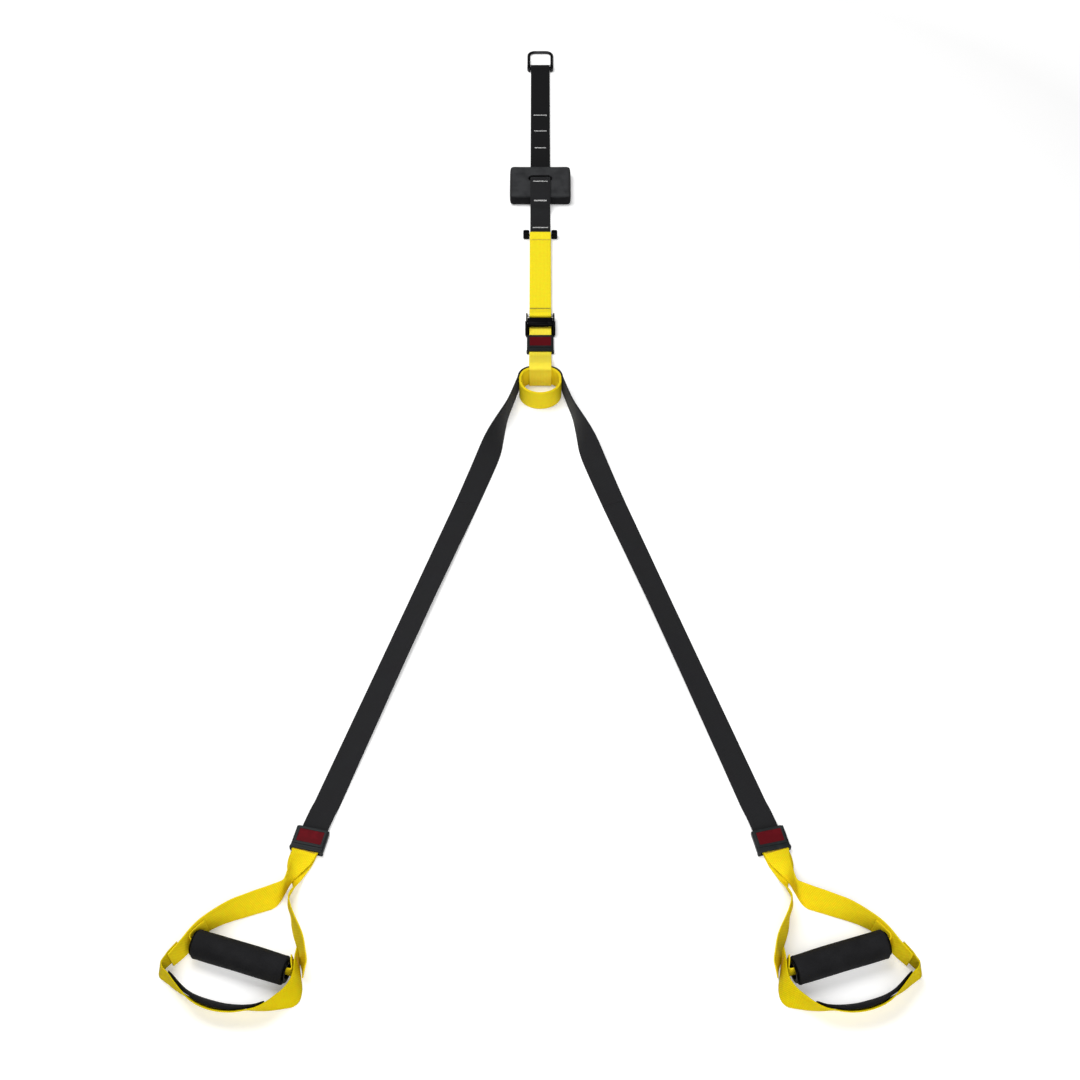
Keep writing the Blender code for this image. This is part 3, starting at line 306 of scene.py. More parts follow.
def rounded_outline(corners, radii, count=6):
    """A closed outline whose corners are arcs: each starts and ends where both sides touch a circle of its radius."""
    corners = np.asarray(corners, float)
    outline = []
    for point, before, after, radius in zip(corners, np.roll(corners, 1, axis=0), np.roll(corners, -1, axis=0), radii):
        one, two = unit(before - point), unit(after - point)
        half_turn = math.acos(np.clip(one @ two, -1, 1)) / 2
        back = radius / math.tan(half_turn)
        middle = point + unit(one + two) * radius / math.sin(half_turn)
        start, end = point + one * back - middle, point + two * back - middle
        sweep = math.acos(np.clip(start @ end / radius**2, -1, 1))
        share = np.linspace(0, 1, count)[:, None]
        outline.append(middle + (start * np.sin((1 - share) * sweep) + end * np.sin(share * sweep)) / math.sin(sweep))
    return np.vstack(outline)


RING_WIRE, RING_REACH, RING_INNER, TOP_CORNER, BASE_CORNER = 0.0049, 0.0517, 0.0395, 0.0115, 0.0045
COAT_RADIUS = 0.0028                 # the coat makes the wire stouter than in the eye
RING_EYE = np.array([LOOP_Y + 0.8647, 0.00505])
half = (RING_INNER + RING_WIRE) / 2
corners = np.vstack([rounded_corner((half - BASE_CORNER, BASE_CORNER), BASE_CORNER, -90, 0, 8),
                     rounded_corner((half - TOP_CORNER, RING_REACH - TOP_CORNER), TOP_CORNER, 0, 90, 14)])
bent = np.vstack([corners, corners[::-1] * [-1, 1]])
stretch = np.linspace(0, 1, 5)[:-1, None]
bent = np.vstack([a + (b - a) * stretch if np.hypot(*(b - a)) > 0.004 else a[None]
                  for a, b in zip(bent, np.roll(bent, -1, axis=0))])
tilt = math.asin((RING_EYE[1] - COAT_RADIUS - 0.0003) / RING_REACH)
ring_path = np.column_stack([bent[:, 0], RING_EYE[0] + bent[:, 1] * math.cos(tilt),
                             RING_EYE[1] - bent[:, 1] * math.sin(tilt)])
ring_steel = coated_steel("ring_steel", (0.022, 0.022, 0.024), 0.40)
add_part("ring_wire", wire_surface(ring_path, COAT_RADIUS, 24, True), ring_steel, "steel", "ring", "hanging_ring")
shoulder = rounded_outline([(0.0186, -0.0052), (0.0205, -0.0085), (0.0250, -0.0030), (0.0252, 0.0072),
                            (0.0186, 0.0084)], (0.0010, 0.0020, 0.0030, 0.0022, 0.0010))
for word, side in (("left", -1), ("right", 1)):
    points, faces = slab(shoulder + [0, RING_EYE[0]], 0.0005, 0.0097, 0.0020)
    points = np.column_stack([side * points[:, 1], points[:, 2], points[:, 0]])
    add_part(f"ring_shoulder_{word}", (points, faces), ring_steel, "steel", "ring")


# ---- Anchor strap -----------------------------------------------------------------------------------------
# One length of black nylon webbing doubled back on itself and sewn, with the ring in the eye at one end and the
# link's bar in the other. It lies under the pad's far half, comes up its slot and crosses its near half.

def weave_group():
    """The height of a plain weave: half the sine of the distance along the webbing plus a half, which steps half a
    turn from one lengthwise rib to the next, times the sine of the distance across it within a rib."""
    group = bpy.data.node_groups.new("weave_height", "ShaderNodeTree")
    for word, kind, way in (("Surface", "NodeSocketVector", "INPUT"), ("Along", "NodeSocketFloat", "INPUT"),
                            ("Across", "NodeSocketFloat", "INPUT"), ("Height", "NodeSocketFloat", "OUTPUT")):
        group.interface.new_socket(name=word, in_out=way, socket_type=kind)
    start, end = group.nodes.new("NodeGroupInput"), group.nodes.new("NodeGroupOutput")
    split, = new_nodes(group, "SeparateXYZ")
    wire(group, (start, "Surface", split, 0))

    def step(operation, *values):
        node, = new_nodes(group, "Math")
        node.operation = operation
        for socket, value in zip(node.inputs, values):
            if isinstance(value, float):
                socket.default_value = value
            else:
                group.links.new(value, socket)
        return node.outputs[0]

    pick_turns = step("DIVIDE", split.outputs["X"], start.outputs["Along"])
    rib_turns = step("DIVIDE", split.outputs["Y"], start.outputs["Across"])
    half_step = step("MULTIPLY", step("FLOOR", rib_turns), 0.5)
    wave = step("SINE", step("MULTIPLY", step("ADD", pick_turns, half_step), 2 * math.pi))
    rib = step("ABSOLUTE", step("SINE", step("MULTIPLY", rib_turns, math.pi)))
    group.links.new(step("MULTIPLY", step("MULTIPLY_ADD", wave, 0.5, 0.5), rib), end.inputs["Height"])
    return group


def webbing_cloth(name, colour, deep, roughness, along=0.0026, across=0.0024, patch=170.0, fading=0.24, shine=0.14,
                  sheen=0.0):
    """Woven nylon: the weave darkens between its threads and lifts them in the bump, and a slow noise fades the dye
    and breaks up the gloss. The weave follows the webbing's own length and width."""
    material, tree, cloth, place, bump, rough, surface, weave, fade, shade, mottle = grained_material(
        name, "UVMap Group TexNoise Mix Mix", 0.55, 0.00035, (roughness - 0.06, roughness + 0.08),
        Sheen_Weight=sheen, Sheen_Roughness=0.5, Specular_IOR_Level=shine)
    surface.uv_map, weave.node_tree = "surface", bpy.data.node_groups["weave_height"]
    shade.data_type = mottle.data_type = "RGBA"
    mottle.blend_type = "MULTIPLY"
    set_sockets(weave, Along=along, Across=across)
    set_sockets(fade, Scale=patch, Detail=3.0)
    set_sockets(mottle, Factor=fading)
    set_sockets(shade, A=(*deep, 1.0), B=(*colour, 1.0))
    wire(tree, (surface, "UV", weave, "Surface"), (place, "Object", fade, "Vector"), (weave, "Height", shade, "Factor"),
         (shade, "Result", mottle, "A"), (fade, "Color", mottle, "B"), (mottle, "Result", cloth, "Base Color"),
         (fade, "Fac", rough, "Value"), (weave, "Height", bump, "Height"))
    return material


def run_of(line):
    """The distance gone at each point of a line."""
    return np.concatenate([[0.0], np.cumsum(np.linalg.norm(np.diff(line, axis=0), axis=1))])


def webbing_surface(top_edge, bottom_edge, thickness, closed=False, across=9):
    """Webbing between two edge lines. Across the width it keeps its full thickness and turns round at each selvedge in
    half a circle; every point is the middle line, plus a share of the width, plus half the thickness square to both.
    The second result is each point's distance along and across, in metres, for the weave."""
    top_edge, bottom_edge = np.asarray(top_edge, float), np.asarray(bottom_edge, float)
    middle, breadth = (top_edge + bottom_edge) / 2, bottom_edge - top_edge
    width = np.linalg.norm(breadth, axis=1)
    breadth = unit(breadth)
    ahead = np.roll(middle, -1, axis=0) - np.roll(middle, 1, axis=0)
    if not closed:
        ahead[0], ahead[-1] = middle[1] - middle[0], middle[-1] - middle[-2]
    face = unit(np.cross(unit(ahead), breadth))
    half = thickness / 2
    flat, level, round_end = np.linspace(-1, 1, across), np.ones(across), np.ones(5)
    turn = np.radians(np.linspace(90, -90, 7)[1:-1])
    inset = np.concatenate([flat, round_end, flat[::-1], -round_end])
    bulge = np.concatenate([0 * flat, np.cos(turn), 0 * flat, -np.cos(turn)])
    rise = np.concatenate([level, np.sin(turn), -level, -np.sin(turn)])
    reach = inset[None, :] * (width[:, None] / 2 - half) + bulge[None, :] * half
    points = (middle[:, None, :] + breadth[:, None, :] * reach[..., None]
              + face[:, None, :] * (rise * half)[None, :, None])
    along = np.broadcast_to(run_of(middle)[:, None], reach.shape)
    uv = np.stack([along, reach + np.where(rise < 0, 0.4, 0.2)[None, :]], axis=2).reshape(-1, 2)
    faces = grid_faces(*reach.shape, True, True).tolist() if closed else tube_faces(*reach.shape)
    return (points.reshape(-1, 3), faces), uv


PLY = 0.002


def add_webbing(name, edges, material, node=None, body=None, thickness=PLY * 0.96, closed=False,
                gone=0.0):
    """Webbing between two edge lines as a piece; its weave starts at the distance already gone. It rides a body where
    one is given."""
    shape, uv = webbing_surface(*edges, thickness, closed)
    uv[:, 0] += gone
    piece = add_piece(name, shape, material, uv)
    if body:
        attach(piece, body)
    if node:
        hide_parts(node)
    return piece


def flowing_line(knots, step):
    """A smooth line through the knots: between two of them each coordinate is the cubic that has both points and, at
    each, the slope of the two neighbours, weighed by their distances. It is resampled at even steps."""
    knots = np.asarray(knots, float)
    gap = np.linalg.norm(np.diff(knots, axis=0), axis=1)
    slope = np.diff(knots, axis=0) / gap[:, None]
    tangent = np.vstack([slope[:1], (slope[:-1] * gap[1:, None] + slope[1:] * gap[:-1, None])
                         / (gap[:-1] + gap[1:])[:, None], slope[-1:]])
    share = np.linspace(0, 1, 24, endpoint=False)[None, :, None]
    a, b = knots[:-1, None], knots[1:, None]
    ta, tb = tangent[:-1, None] * gap[:, None, None], tangent[1:, None] * gap[:, None, None]
    curve = ((2 * share**3 - 3 * share**2 + 1) * a + (share**3 - 2 * share**2 + share) * ta
             + (3 * share**2 - 2 * share**3) * b + (share**3 - share**2) * tb).reshape(-1, knots.shape[1])
    curve = np.vstack([curve, knots[-1:]])
    run = run_of(curve)
    even = np.linspace(0, run[-1], max(8, int(run[-1] / step) + 1))
    return np.column_stack([np.interp(even, run, curve[:, k]) for k in range(curve.shape[1])])


def beside(line, distance):
    """A line in Y and Z moved square to itself by a distance, up where it runs towards greater Y."""
    ahead = unit(np.gradient(line, axis=0))
    return line + np.column_stack([-ahead[:, 1], ahead[:, 0]]) * distance


def round_bar(centre, radius, arriving, leaving, turn):
    """The arc of webbing round a bar from one ply's end to the other's: turn is 1 anticlockwise, -1 clockwise."""
    def lean(point, side):
        away = np.asarray(point) - centre
        return math.atan2(away[1], away[0]) + side * math.acos(min(1.0, radius / math.hypot(*away)))
    start = lean(arriving, turn)
    sweep = (turn * (lean(leaving, -turn) - start)) % (2 * math.pi)
    angle = start + turn * np.linspace(0, sweep, 18)
    return np.column_stack([centre[0] + radius * np.cos(angle), centre[1] + radius * np.sin(angle)])


def strap_edges(line, width):
    """The two edges of a strap that runs in Y and Z with its width along X."""
    left = np.column_stack([np.full(len(line), -width / 2), line])
    return left, left * [-1, 1, 1]


weave_group()
ANCHOR_WIDTH = 0.036
LINK_REAR = np.array([LOOP_Y + 0.3937, 0.0041])
PAD_LOW, PAD_HIGH, PAD_SLOT, PAD_TALL = LOOP_Y + 0.4762, LOOP_Y + 0.5617, LOOP_Y + 0.5267, 0.023
flat, high, rise, ramp = 0.0023, 0.0253, 0.00805, 0.030
anchor_knots = [
    (LINK_REAR[0], flat), (PAD_LOW - 1.3 * ramp, flat), (PAD_LOW - ramp, flat + 0.02 * rise),
    (PAD_LOW - 0.62 * ramp, flat + 0.5 * rise), (PAD_LOW - 0.3 * ramp, high - 1.1 * rise),
    (PAD_LOW + 0.02 * ramp, high - 0.1 * rise), (PAD_LOW + 0.2 * ramp, high), (PAD_SLOT - 0.36 * PAD_TALL, high),
    (PAD_SLOT - 0.06 * PAD_TALL, high - 0.2 * rise), (PAD_SLOT + 0.38 * PAD_TALL, (flat + high) / 2),
    (PAD_SLOT + 0.82 * PAD_TALL, flat + 0.2 * rise), (PAD_SLOT + 1.12 * PAD_TALL, flat), (PAD_HIGH, flat),
    (RING_EYE[0], flat)]
anchor_middle = flowing_line(anchor_knots, 0.002)
black_webbing = webbing_cloth("black_nylon_webbing", (0.022, 0.022, 0.024), (0.007, 0.007, 0.008), 0.78,
                              0.0016, 0.0019, 34.0, 0.12, sheen=0.05)
# The far half and the eye cover get a darker copy of the same black webbing: painted shade.
far_shaded_webbing = webbing_cloth("far_shaded_nylon_webbing", (0.010, 0.010, 0.011), (0.003, 0.003, 0.0035), 0.80,
                            0.0016, 0.0019, 34.0, 0.12, sheen=0.03)


def two_plies(middle, eye, radius, clear):
    """One ply's line out to the eye, round it and back as the other ply, from a middle line that ends at the eye and
    is cut off clear of it."""
    middle = middle[np.abs(middle[:, 0] - eye[0]) > clear]
    one, other = beside(middle, -PLY / 2), beside(middle, PLY / 2)
    return np.vstack([one, round_bar(eye, radius, one[-1], other[-1], 1), other[::-1]])


join_y, overlap = PAD_SLOT + 0.004, 0.003
far_half = anchor_middle[anchor_middle[:, 0] > join_y - overlap]
near_half = anchor_middle[anchor_middle[:, 0] < join_y + overlap][::-1]
ring_radius = RING_WIRE / 2 + 0.0003 + PLY / 2
FAR_BEND = (0.0, RING_EYE[0] - 0.03, 0.0), (0.0, PAD_HIGH + 0.005, 0.0)
NEAR_BEND = (0.0, LINK_REAR[0] + 0.02, 0.0), (0.0, PAD_LOW - 0.035, 0.0)
for name, line, cloth, bend in (
        ("anchor_strap_far", two_plies(far_half, RING_EYE, ring_radius, 3 * ring_radius), far_shaded_webbing, FAR_BEND),
        ("anchor_strap_near", two_plies(near_half, LINK_REAR, 0.0028, 0.012), black_webbing, NEAR_BEND)):
    strap = add_webbing(name, strap_edges(line, ANCHOR_WIDTH), cloth, "anchor_strap")
    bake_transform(strap)
cover_line = np.vstack([[(RING_EYE[0] - 0.0085, 0.0053), (RING_EYE[0] - 0.006, 0.0062)],
                        RING_EYE + rounded_corner((0.0, 0.0), 0.0058, 118, -62, 22)])
add_webbing("anchor_eye_cover", strap_edges(flowing_line(cover_line, 0.001), 0.0364), far_shaded_webbing, body="anchor")


# ---- Bar tacks of the anchor strap ------------------------------------------------------------------------
# Pale thread sewn back and forth over both plies, in short dense rows across the strap.
# Each stitch is one low arched loop of thread.

def thread_material(name, colour):
    """Twisted polyester thread: a fine slanted wave lifts its strands in the bump and darkens between them."""
    material, tree, thread, place, strands, shade, bump = new_material(
        name, "TexCoord TexWave ValToRGB Bump", Roughness=0.6, Sheen_Weight=0.15)
    strands.bands_direction = "DIAGONAL"
    set_sockets(strands, Scale=900.0, Distortion=1.5)
    set_sockets(bump, Strength=0.3, Distance=0.0001)
    low, high = shade.color_ramp.elements
    low.color, high.color, high.position = (*(0.6 * c for c in colour), 1.0), (*colour, 1.0), 0.5
    wire(tree, (place, "Object", strands, "Vector"), (strands, "Fac", shade, "Fac"), (strands, "Fac", bump, "Height"),
         (shade, "Color", thread, "Base Color"), (bump, "Normal", thread, "Normal"))
    return material


THREAD, STITCH_GAP = 0.00028, 0.0008
THREAD_ROWS, THREAD_SIDES = 6, 5


def bar_tack(name, spot, along, across, width, depth, outward, material, lift=0.0003,
             count=None):
    """A zigzag of short arched threads across the strap, each as long as the tack is deep. A thread's middle line goes
    from its start to its end and stands off the cloth by the lift times four times the product of the shares gone and
    left; a pentagon is carried along it, tapering at both ends."""
    spot, along, across, outward = (np.asarray(a, float) for a in (spot, along, across, outward))
    count = count or int(width / STITCH_GAP)
    place = np.linspace(-width / 2, width / 2, count + 1)
    lean = np.where(np.arange(count + 1) % 2 == 0, -0.5, 0.5) * depth
    corner = spot + across * place[:, None] + along * lean[:, None]
    starts, ends = corner[:-1], corner[1:]
    gone = np.linspace(0, 1, THREAD_ROWS)[None, :, None]
    middle = starts[:, None] + (ends - starts)[:, None] * gone + outward * (4 * gone * (1 - gone) * lift)
    side = unit(np.cross(outward, unit(ends - starts)))
    angle = full_turn(THREAD_SIDES)
    ring = side[:, None] * np.cos(angle)[None, :, None] + outward * np.sin(angle)[None, :, None]
    taper = THREAD * np.array([0.45, 1.0, 1.0, 1.0, 1.0, 0.45])
    points = middle[:, :, None] + ring[:, None] * taper[None, :, None, None]
    one_thread = tube_faces(THREAD_ROWS, THREAD_SIDES)
    faces = [[corner + THREAD_ROWS * THREAD_SIDES * thread for corner in face]
             for thread in range(count) for face in one_thread]
    return add_piece(name, (points.reshape(-1, 3), faces), material)


grey_thread = thread_material("grey_thread", (0.85, 0.85, 0.85))
over_top = beside(anchor_middle, PLY * 0.98)
for number, (spot_y, tack_width, bend) in enumerate((
        (0.7268, 0.025, FAR_BEND), (0.6804, 0.023, FAR_BEND), (0.6318, 0.021, FAR_BEND),
        (0.5115, 0.026, None), (0.4680, 0.023, None), (0.4130, 0.028, NEAR_BEND))):
    at = int(np.argmin(np.abs(over_top[:, 0] - LOOP_Y - spot_y)))
    way = unit(over_top[at + 1] - over_top[at - 1])
    tack = bar_tack(f"anchor_tack_{number + 1}", (0.0, *over_top[at]), (0.0, *way), (1.0, 0.0, 0.0), tack_width, 0.0030,
                    (0.0, -way[1], way[0]), grey_thread, 0.0004)
    if bend:
        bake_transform(tack)
    else:
        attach(tack, "pad")


# ---- Door pad ---------------------------------------------------------------------------------------------
# A block of dense black foam, moulded with rounded edges and a slightly crowned top. The strap lies in a
# shallow channel under its far half, comes up through a slot and crosses its near half.

def foam_material(name, colour, deep, grain=900.0, depth=0.0003, painted_top_light=None):
    """Closed-cell foam: a Voronoi cell pattern for its pores, with a broad noise that lightens the rubbed parts, and a
    patchy painted light of the given colour on the faces that look up, which makes the top lighter than the sides."""
    material, tree, foam, place, high, rough, pores, wear, gloss, shade = grained_material(
        name, "TexVoronoi TexNoise TexNoise Mix", 0.35, depth, (0.72, 0.92), Specular_IOR_Level=0.12, Sheen_Weight=0.01)
    set_sockets(pores, Scale=grain)
    set_sockets(wear, Scale=45.0, Detail=5.0)
    set_sockets(gloss, Scale=grain * 0.6)
    shade.data_type = "RGBA"
    set_sockets(shade, A=(*deep, 1.0), B=(*colour, 1.0))
    for texture in (pores, wear, gloss):
        wire(tree, (place, "Object", texture, "Vector"))
    wire(tree, (wear, "Fac", shade, "Factor"), (shade, "Result", foam, "Base Color"), (gloss, "Fac", rough, "Value"),
         (pores, "Distance", high, "Height"))
    # Painted light: a lighter colour mixed in by how far each face looks up, patchy with the wear noise.
    if painted_top_light:
        facing, upward, top_facing_share, patchy, thin, cover = new_nodes(tree, "NewGeometry SeparateXYZ MapRange Math Math Mix")
        patchy.operation, patchy.use_clamp, thin.operation = "MULTIPLY", True, "MULTIPLY"
        patchy.inputs[1].default_value = 1.7
        cover.data_type = "RGBA"
        set_sockets(top_facing_share, From_Min=0.35, From_Max=0.95)
        set_sockets(cover, B=(*painted_top_light, 1.0))
        wire(tree, (wear, "Fac", patchy, 0), (patchy, 0, thin, 0), (facing, "Normal", upward, 0),
             (upward, "Z", top_facing_share, "Value"), (top_facing_share, "Result", thin, 1), (thin, 0, cover, "Factor"),
             (shade, "Result", cover, "A"), (cover, "Result", foam, "Base Color"))
    return material


def rounded_block(centre, size, edge, count=14):
    """A box with round edges: a point of each face's grid is drawn to the nearest point of the box that is smaller by
    the edge radius, and put that radius away from it. Rows crowd towards the edges."""
    ramp_line = np.sin(np.linspace(-np.pi / 2, np.pi / 2, count))
    points, faces = [], []
    u, v = (a.ravel() for a in np.meshgrid(ramp_line, ramp_line, indexing="ij"))
    for axis in range(3):
        for side in (-1.0, 1.0):
            face = np.empty((count * count, 3))
            face[:, axis], face[:, (axis + 1) % 3], face[:, (axis + 2) % 3] = side, u, v
            corners = grid_faces(count, count, False) + len(points) * count * count
            points.append(face)
            faces.append(corners if side > 0 else corners[:, ::-1])
    half = np.asarray(size) / 2
    cube = np.vstack(points) * half
    inside = np.clip(cube, edge - half, half - edge)
    return inside + unit(cube - inside) * edge + np.asarray(centre), np.vstack(faces).tolist()


WELD = 1e-6


def settle(piece):
    """Works a piece's modifiers into its mesh."""
    graph = bpy.context.evaluated_depsgraph_get()
    mesh = bpy.data.meshes.new_from_object(piece.evaluated_get(graph))
    piece.modifiers.clear()
    old, piece.data = piece.data, mesh
    bpy.data.meshes.remove(old)
    mesh.name = piece.name
    mesh.polygons.foreach_set("use_smooth", np.ones(len(mesh.polygons), bool))


def points_of(piece):
    flat_list = np.empty(len(piece.data.vertices) * 3)
    piece.data.vertices.foreach_get("co", flat_list)
    return flat_list.reshape(-1, 3)


def put_points(piece, points):
    piece.data.vertices.foreach_set("co", np.asarray(points).ravel())
    piece.data.update()


def swell(piece, pressure, most, hold, until=16):
    """Cloth under even pressure from inside, without gravity. No point moves further than the given most, times its
    share of the hold, which is zero where the piece is gripped."""
    rest = points_of(piece)
    cloth = piece.modifiers.new("swell", "CLOTH")
    cloth.settings.use_pressure, cloth.settings.uniform_pressure_force = True, pressure
    cloth.settings.effector_weights.gravity = 0.0
    cloth.settings.tension_stiffness = cloth.settings.compression_stiffness = 30.0
    cloth.collision_settings.use_collision = False
    cloth.point_cache.frame_end = until
    for number in range(1, until + 1):
        bpy.context.scene.frame_set(number)
    settle(piece)
    bpy.context.scene.frame_set(1)
    move = points_of(piece) - rest
    far = np.linalg.norm(move, axis=1)
    put_points(piece, rest + move * (np.minimum(far, most) / np.maximum(far, 1e-9) * hold)[:, None])


# The pad's top gets painted light of this colour, strongest on the faces that look straight up.
pad_foam = foam_material("pad_foam", (0.0075, 0.0075, 0.0085), (0.0030, 0.0030, 0.0036), painted_top_light=(0.034, 0.035, 0.037))
PAD_SIZE, PAD_EDGE, PAD_MIDDLE_Z = (0.110, 0.0851, 0.0228), 0.0055, 0.0115
pad_shape = rounded_block((0.0, (PAD_LOW + PAD_HIGH) / 2, PAD_MIDDLE_Z), PAD_SIZE, PAD_EDGE, 24)
pad = add_piece("door_pad_foam", pad_shape, pad_foam, weld=WELD)
inside_pad = anchor_middle[(anchor_middle[:, 0] > PAD_LOW - 0.03) & (anchor_middle[:, 0] < PAD_HIGH + 0.035)]
mouth = 0.0022 * np.exp(-((inside_pad[:, :1] - PAD_SLOT + 0.002) / 0.007) ** 2)          # the slot's opening is wider
CHANNEL_ROOM, CHANNEL_HALF = 0.0008, 0.0186
channel_line = np.vstack([beside(inside_pad, PLY + CHANNEL_ROOM + mouth),
                          beside(inside_pad, -PLY - CHANNEL_ROOM)[::-1]])
count = len(channel_line)
channel_shape = (np.vstack([np.column_stack([np.full(count, x), channel_line]) for x in (-CHANNEL_HALF, CHANNEL_HALF)]),
                 tube_faces(2, count))
mouth_shape = rounded_block((0.0, PAD_SLOT + 0.0002, 0.0190), (0.0425, 0.0090, 0.0180), 0.0010, 6)
cutters = [add_piece(name, shape, pad_foam, weld=WELD)
           for name, shape in (("strap_channel", channel_shape), ("slot_mouth", mouth_shape))]
for cutter in cutters:
    cut = pad.modifiers.new(cutter.name, "BOOLEAN")
    cut.operation, cut.solver, cut.object = "DIFFERENCE", "EXACT", cutter
shell = pad.modifiers.new("shell", "REMESH")
shell.mode, shell.voxel_size = "VOXEL", 0.0018
settle(pad)
for cutter in cutters:
    bpy.data.objects.remove(cutter)
place = points_of(pad)
apart = np.min(np.hypot(place[:, 1, None] - inside_pad[None, :, 0], place[:, 2, None] - inside_pad[None, :, 1]), axis=1)
# The foam is held near the strap and the floor, and free beside the strap and farther from it.
HELD, HELD_FADE, SIDE_FREE, SIDE_FADE = 0.004, 0.008, 0.021, 0.006
free = np.clip((apart - HELD) / HELD_FADE, 0, 1) + np.clip((np.abs(place[:, 0]) - SIDE_FREE) / SIDE_FADE, 0, 1)
free = np.minimum(free, 1.0) * np.clip(place[:, 2] / HELD, 0, 1)
swell(pad, 4.0, 0.0004, free)
place = points_of(pad)
PAD_LOWEST, PAD_HIGHEST = 0.0002, 0.0245
place[:, 2] = np.clip(place[:, 2], PAD_LOWEST, PAD_HIGHEST)
put_points(pad, place)
soften = pad.modifiers.new("soften", "CORRECTIVE_SMOOTH")
soften.use_only_smooth, soften.iterations, soften.factor = True, 3, 0.5
finish = pad.modifiers.new("finish", "SUBSURF")
finish.levels = finish.render_levels = 1
settle(pad)
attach(pad, "pad")
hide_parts("door_pad")


# ---- Strap link -------------------------------------------------------------------------------------------
# Two steel bars set in two moulded nylon end blocks. The anchor strap's eye is on the far bar and the main
# strap's eye on the near one.

def moulded_plastic(name, colour, roughness=0.42, grain=700.0, edge=1.7, shine=0.10):
    """Moulded nylon: spark grain in the bump, and a broad noise that varies the gloss and rubs the peaks lighter."""
    material, tree, plastic, place, bump, rough, grains, patches, worn, shade = grained_material(
        name, "TexNoise TexNoise ValToRGB Mix", 0.20, 0.00015, (roughness - 0.08, roughness + 0.12),
        Specular_IOR_Level=shine)
    set_sockets(grains, Scale=grain, Detail=2.0)
    set_sockets(patches, Scale=60.0, Detail=4.0)
    worn.color_ramp.elements[0].position, worn.color_ramp.elements[1].position = 0.55, 0.75
    shade.data_type = "RGBA"
    set_sockets(shade, A=(*colour, 1.0), B=(*(edge * c for c in colour), 1.0))
    wire(tree, (place, "Object", grains, "Vector"), (place, "Object", patches, "Vector"), (patches, "Fac", worn, "Fac"),
         (worn, "Color", shade, "Factor"), (shade, "Result", plastic, "Base Color"), (patches, "Fac", rough, "Value"),
         (grains, "Fac", bump, "Height"))
    return material


def bar_surface(centre, radius, half_length, sides=28):
    """A round bar along X with domed ends: its radius follows the quarter of a circle over the last half millimetre."""
    lean = np.linspace(0, np.pi / 2, 5)
    end = np.column_stack([half_length - 0.0005 + 0.0005 * np.sin(lean), radius - 0.0005 + 0.0005 * np.cos(lean)])
    profile = np.vstack([end[::-1] * [-1, 1], end])
    angle = full_turn(sides)
    x = np.broadcast_to(profile[:, :1], (len(profile), sides))
    points = np.stack([x, centre[0] + profile[:, 1:] * np.cos(angle), centre[1] + profile[:, 1:] * np.sin(angle)],
                      axis=2)
    return points.reshape(-1, 3), tube_faces(len(profile), sides)


black_nylon = moulded_plastic("black_nylon", (0.0016, 0.0016, 0.0022), 0.32, shine=0.035)
bar_steel = coated_steel("bar_steel", (0.32, 0.32, 0.33), 0.26)
LINK_FRONT = np.array([LOOP_Y + 0.3897, 0.01091])
for name, node, centre in (("link_bar_far", "link_bar_anchor", LINK_REAR),
                           ("link_bar_near", "link_bar_main", LINK_FRONT)):
    low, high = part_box(node)
    add_part(name, bar_surface(centre, 0.0015, (high.x - low.x) / 2), bar_steel, "steel", "link", node)
for word in ("left", "right"):
    low, high = (np.array(corner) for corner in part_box(f"link_block_{word}"))
    add_part(f"link_end_{word}", rounded_block((low + high) / 2, high - low, 0.0024, 12), black_nylon, "plastic_black",
             "link", f"link_block_{word}", weld=WELD)


# ---- Main strap -------------------------------------------------------------------------------------------
# Yellow nylon webbing in two plies: it runs from under its own end up round the link's near bar, back down
# round the buckle's bar, and ends on top, where a bar tack holds all three plies.

yellow_webbing = webbing_cloth("yellow_nylon_webbing", (0.96, 0.88, 0.026), (0.84, 0.64, 0.008), 0.66,
                               fading=0.16, shine=0.10)
STRAP_WIDTH = 0.0378
BUCKLE_EYE, EYE_RADIUS = np.array([LOOP_Y + 0.1817, 0.0107]), 0.0043
low_z, high_z = BUCKLE_EYE[1] - EYE_RADIUS + PLY, LINK_FRONT[1] - 0.0038 + PLY
start_y, end_y = BUCKLE_EYE[0] + 0.014, LINK_FRONT[0] - 0.0114
straight = np.column_stack([np.linspace(start_y, end_y, 90), np.linspace(low_z, high_z, 90)])
upper, lower = straight + [0, PLY / 2], straight[::-1] - [0, PLY / 2]
flap = np.column_stack([np.linspace(BUCKLE_EYE[0] + 0.0052, BUCKLE_EYE[0] + 0.0163, 8),
                        np.linspace(0.0141, low_z + 1.5 * PLY, 8)])
main_line = np.vstack([upper, round_bar(LINK_FRONT, 0.0028, upper[-1], lower[0], -1), lower,
                       round_bar(BUCKLE_EYE, EYE_RADIUS - PLY / 2, lower[-1], flap[0], -1), flap])
add_webbing("main_strap_webbing", strap_edges(main_line, STRAP_WIDTH), yellow_webbing, "main_strap", "strap")
yellow_thread = thread_material("yellow_thread", (0.62, 0.47, 0.02))
brown_thread = thread_material("brown_thread", (0.10, 0.06, 0.010))
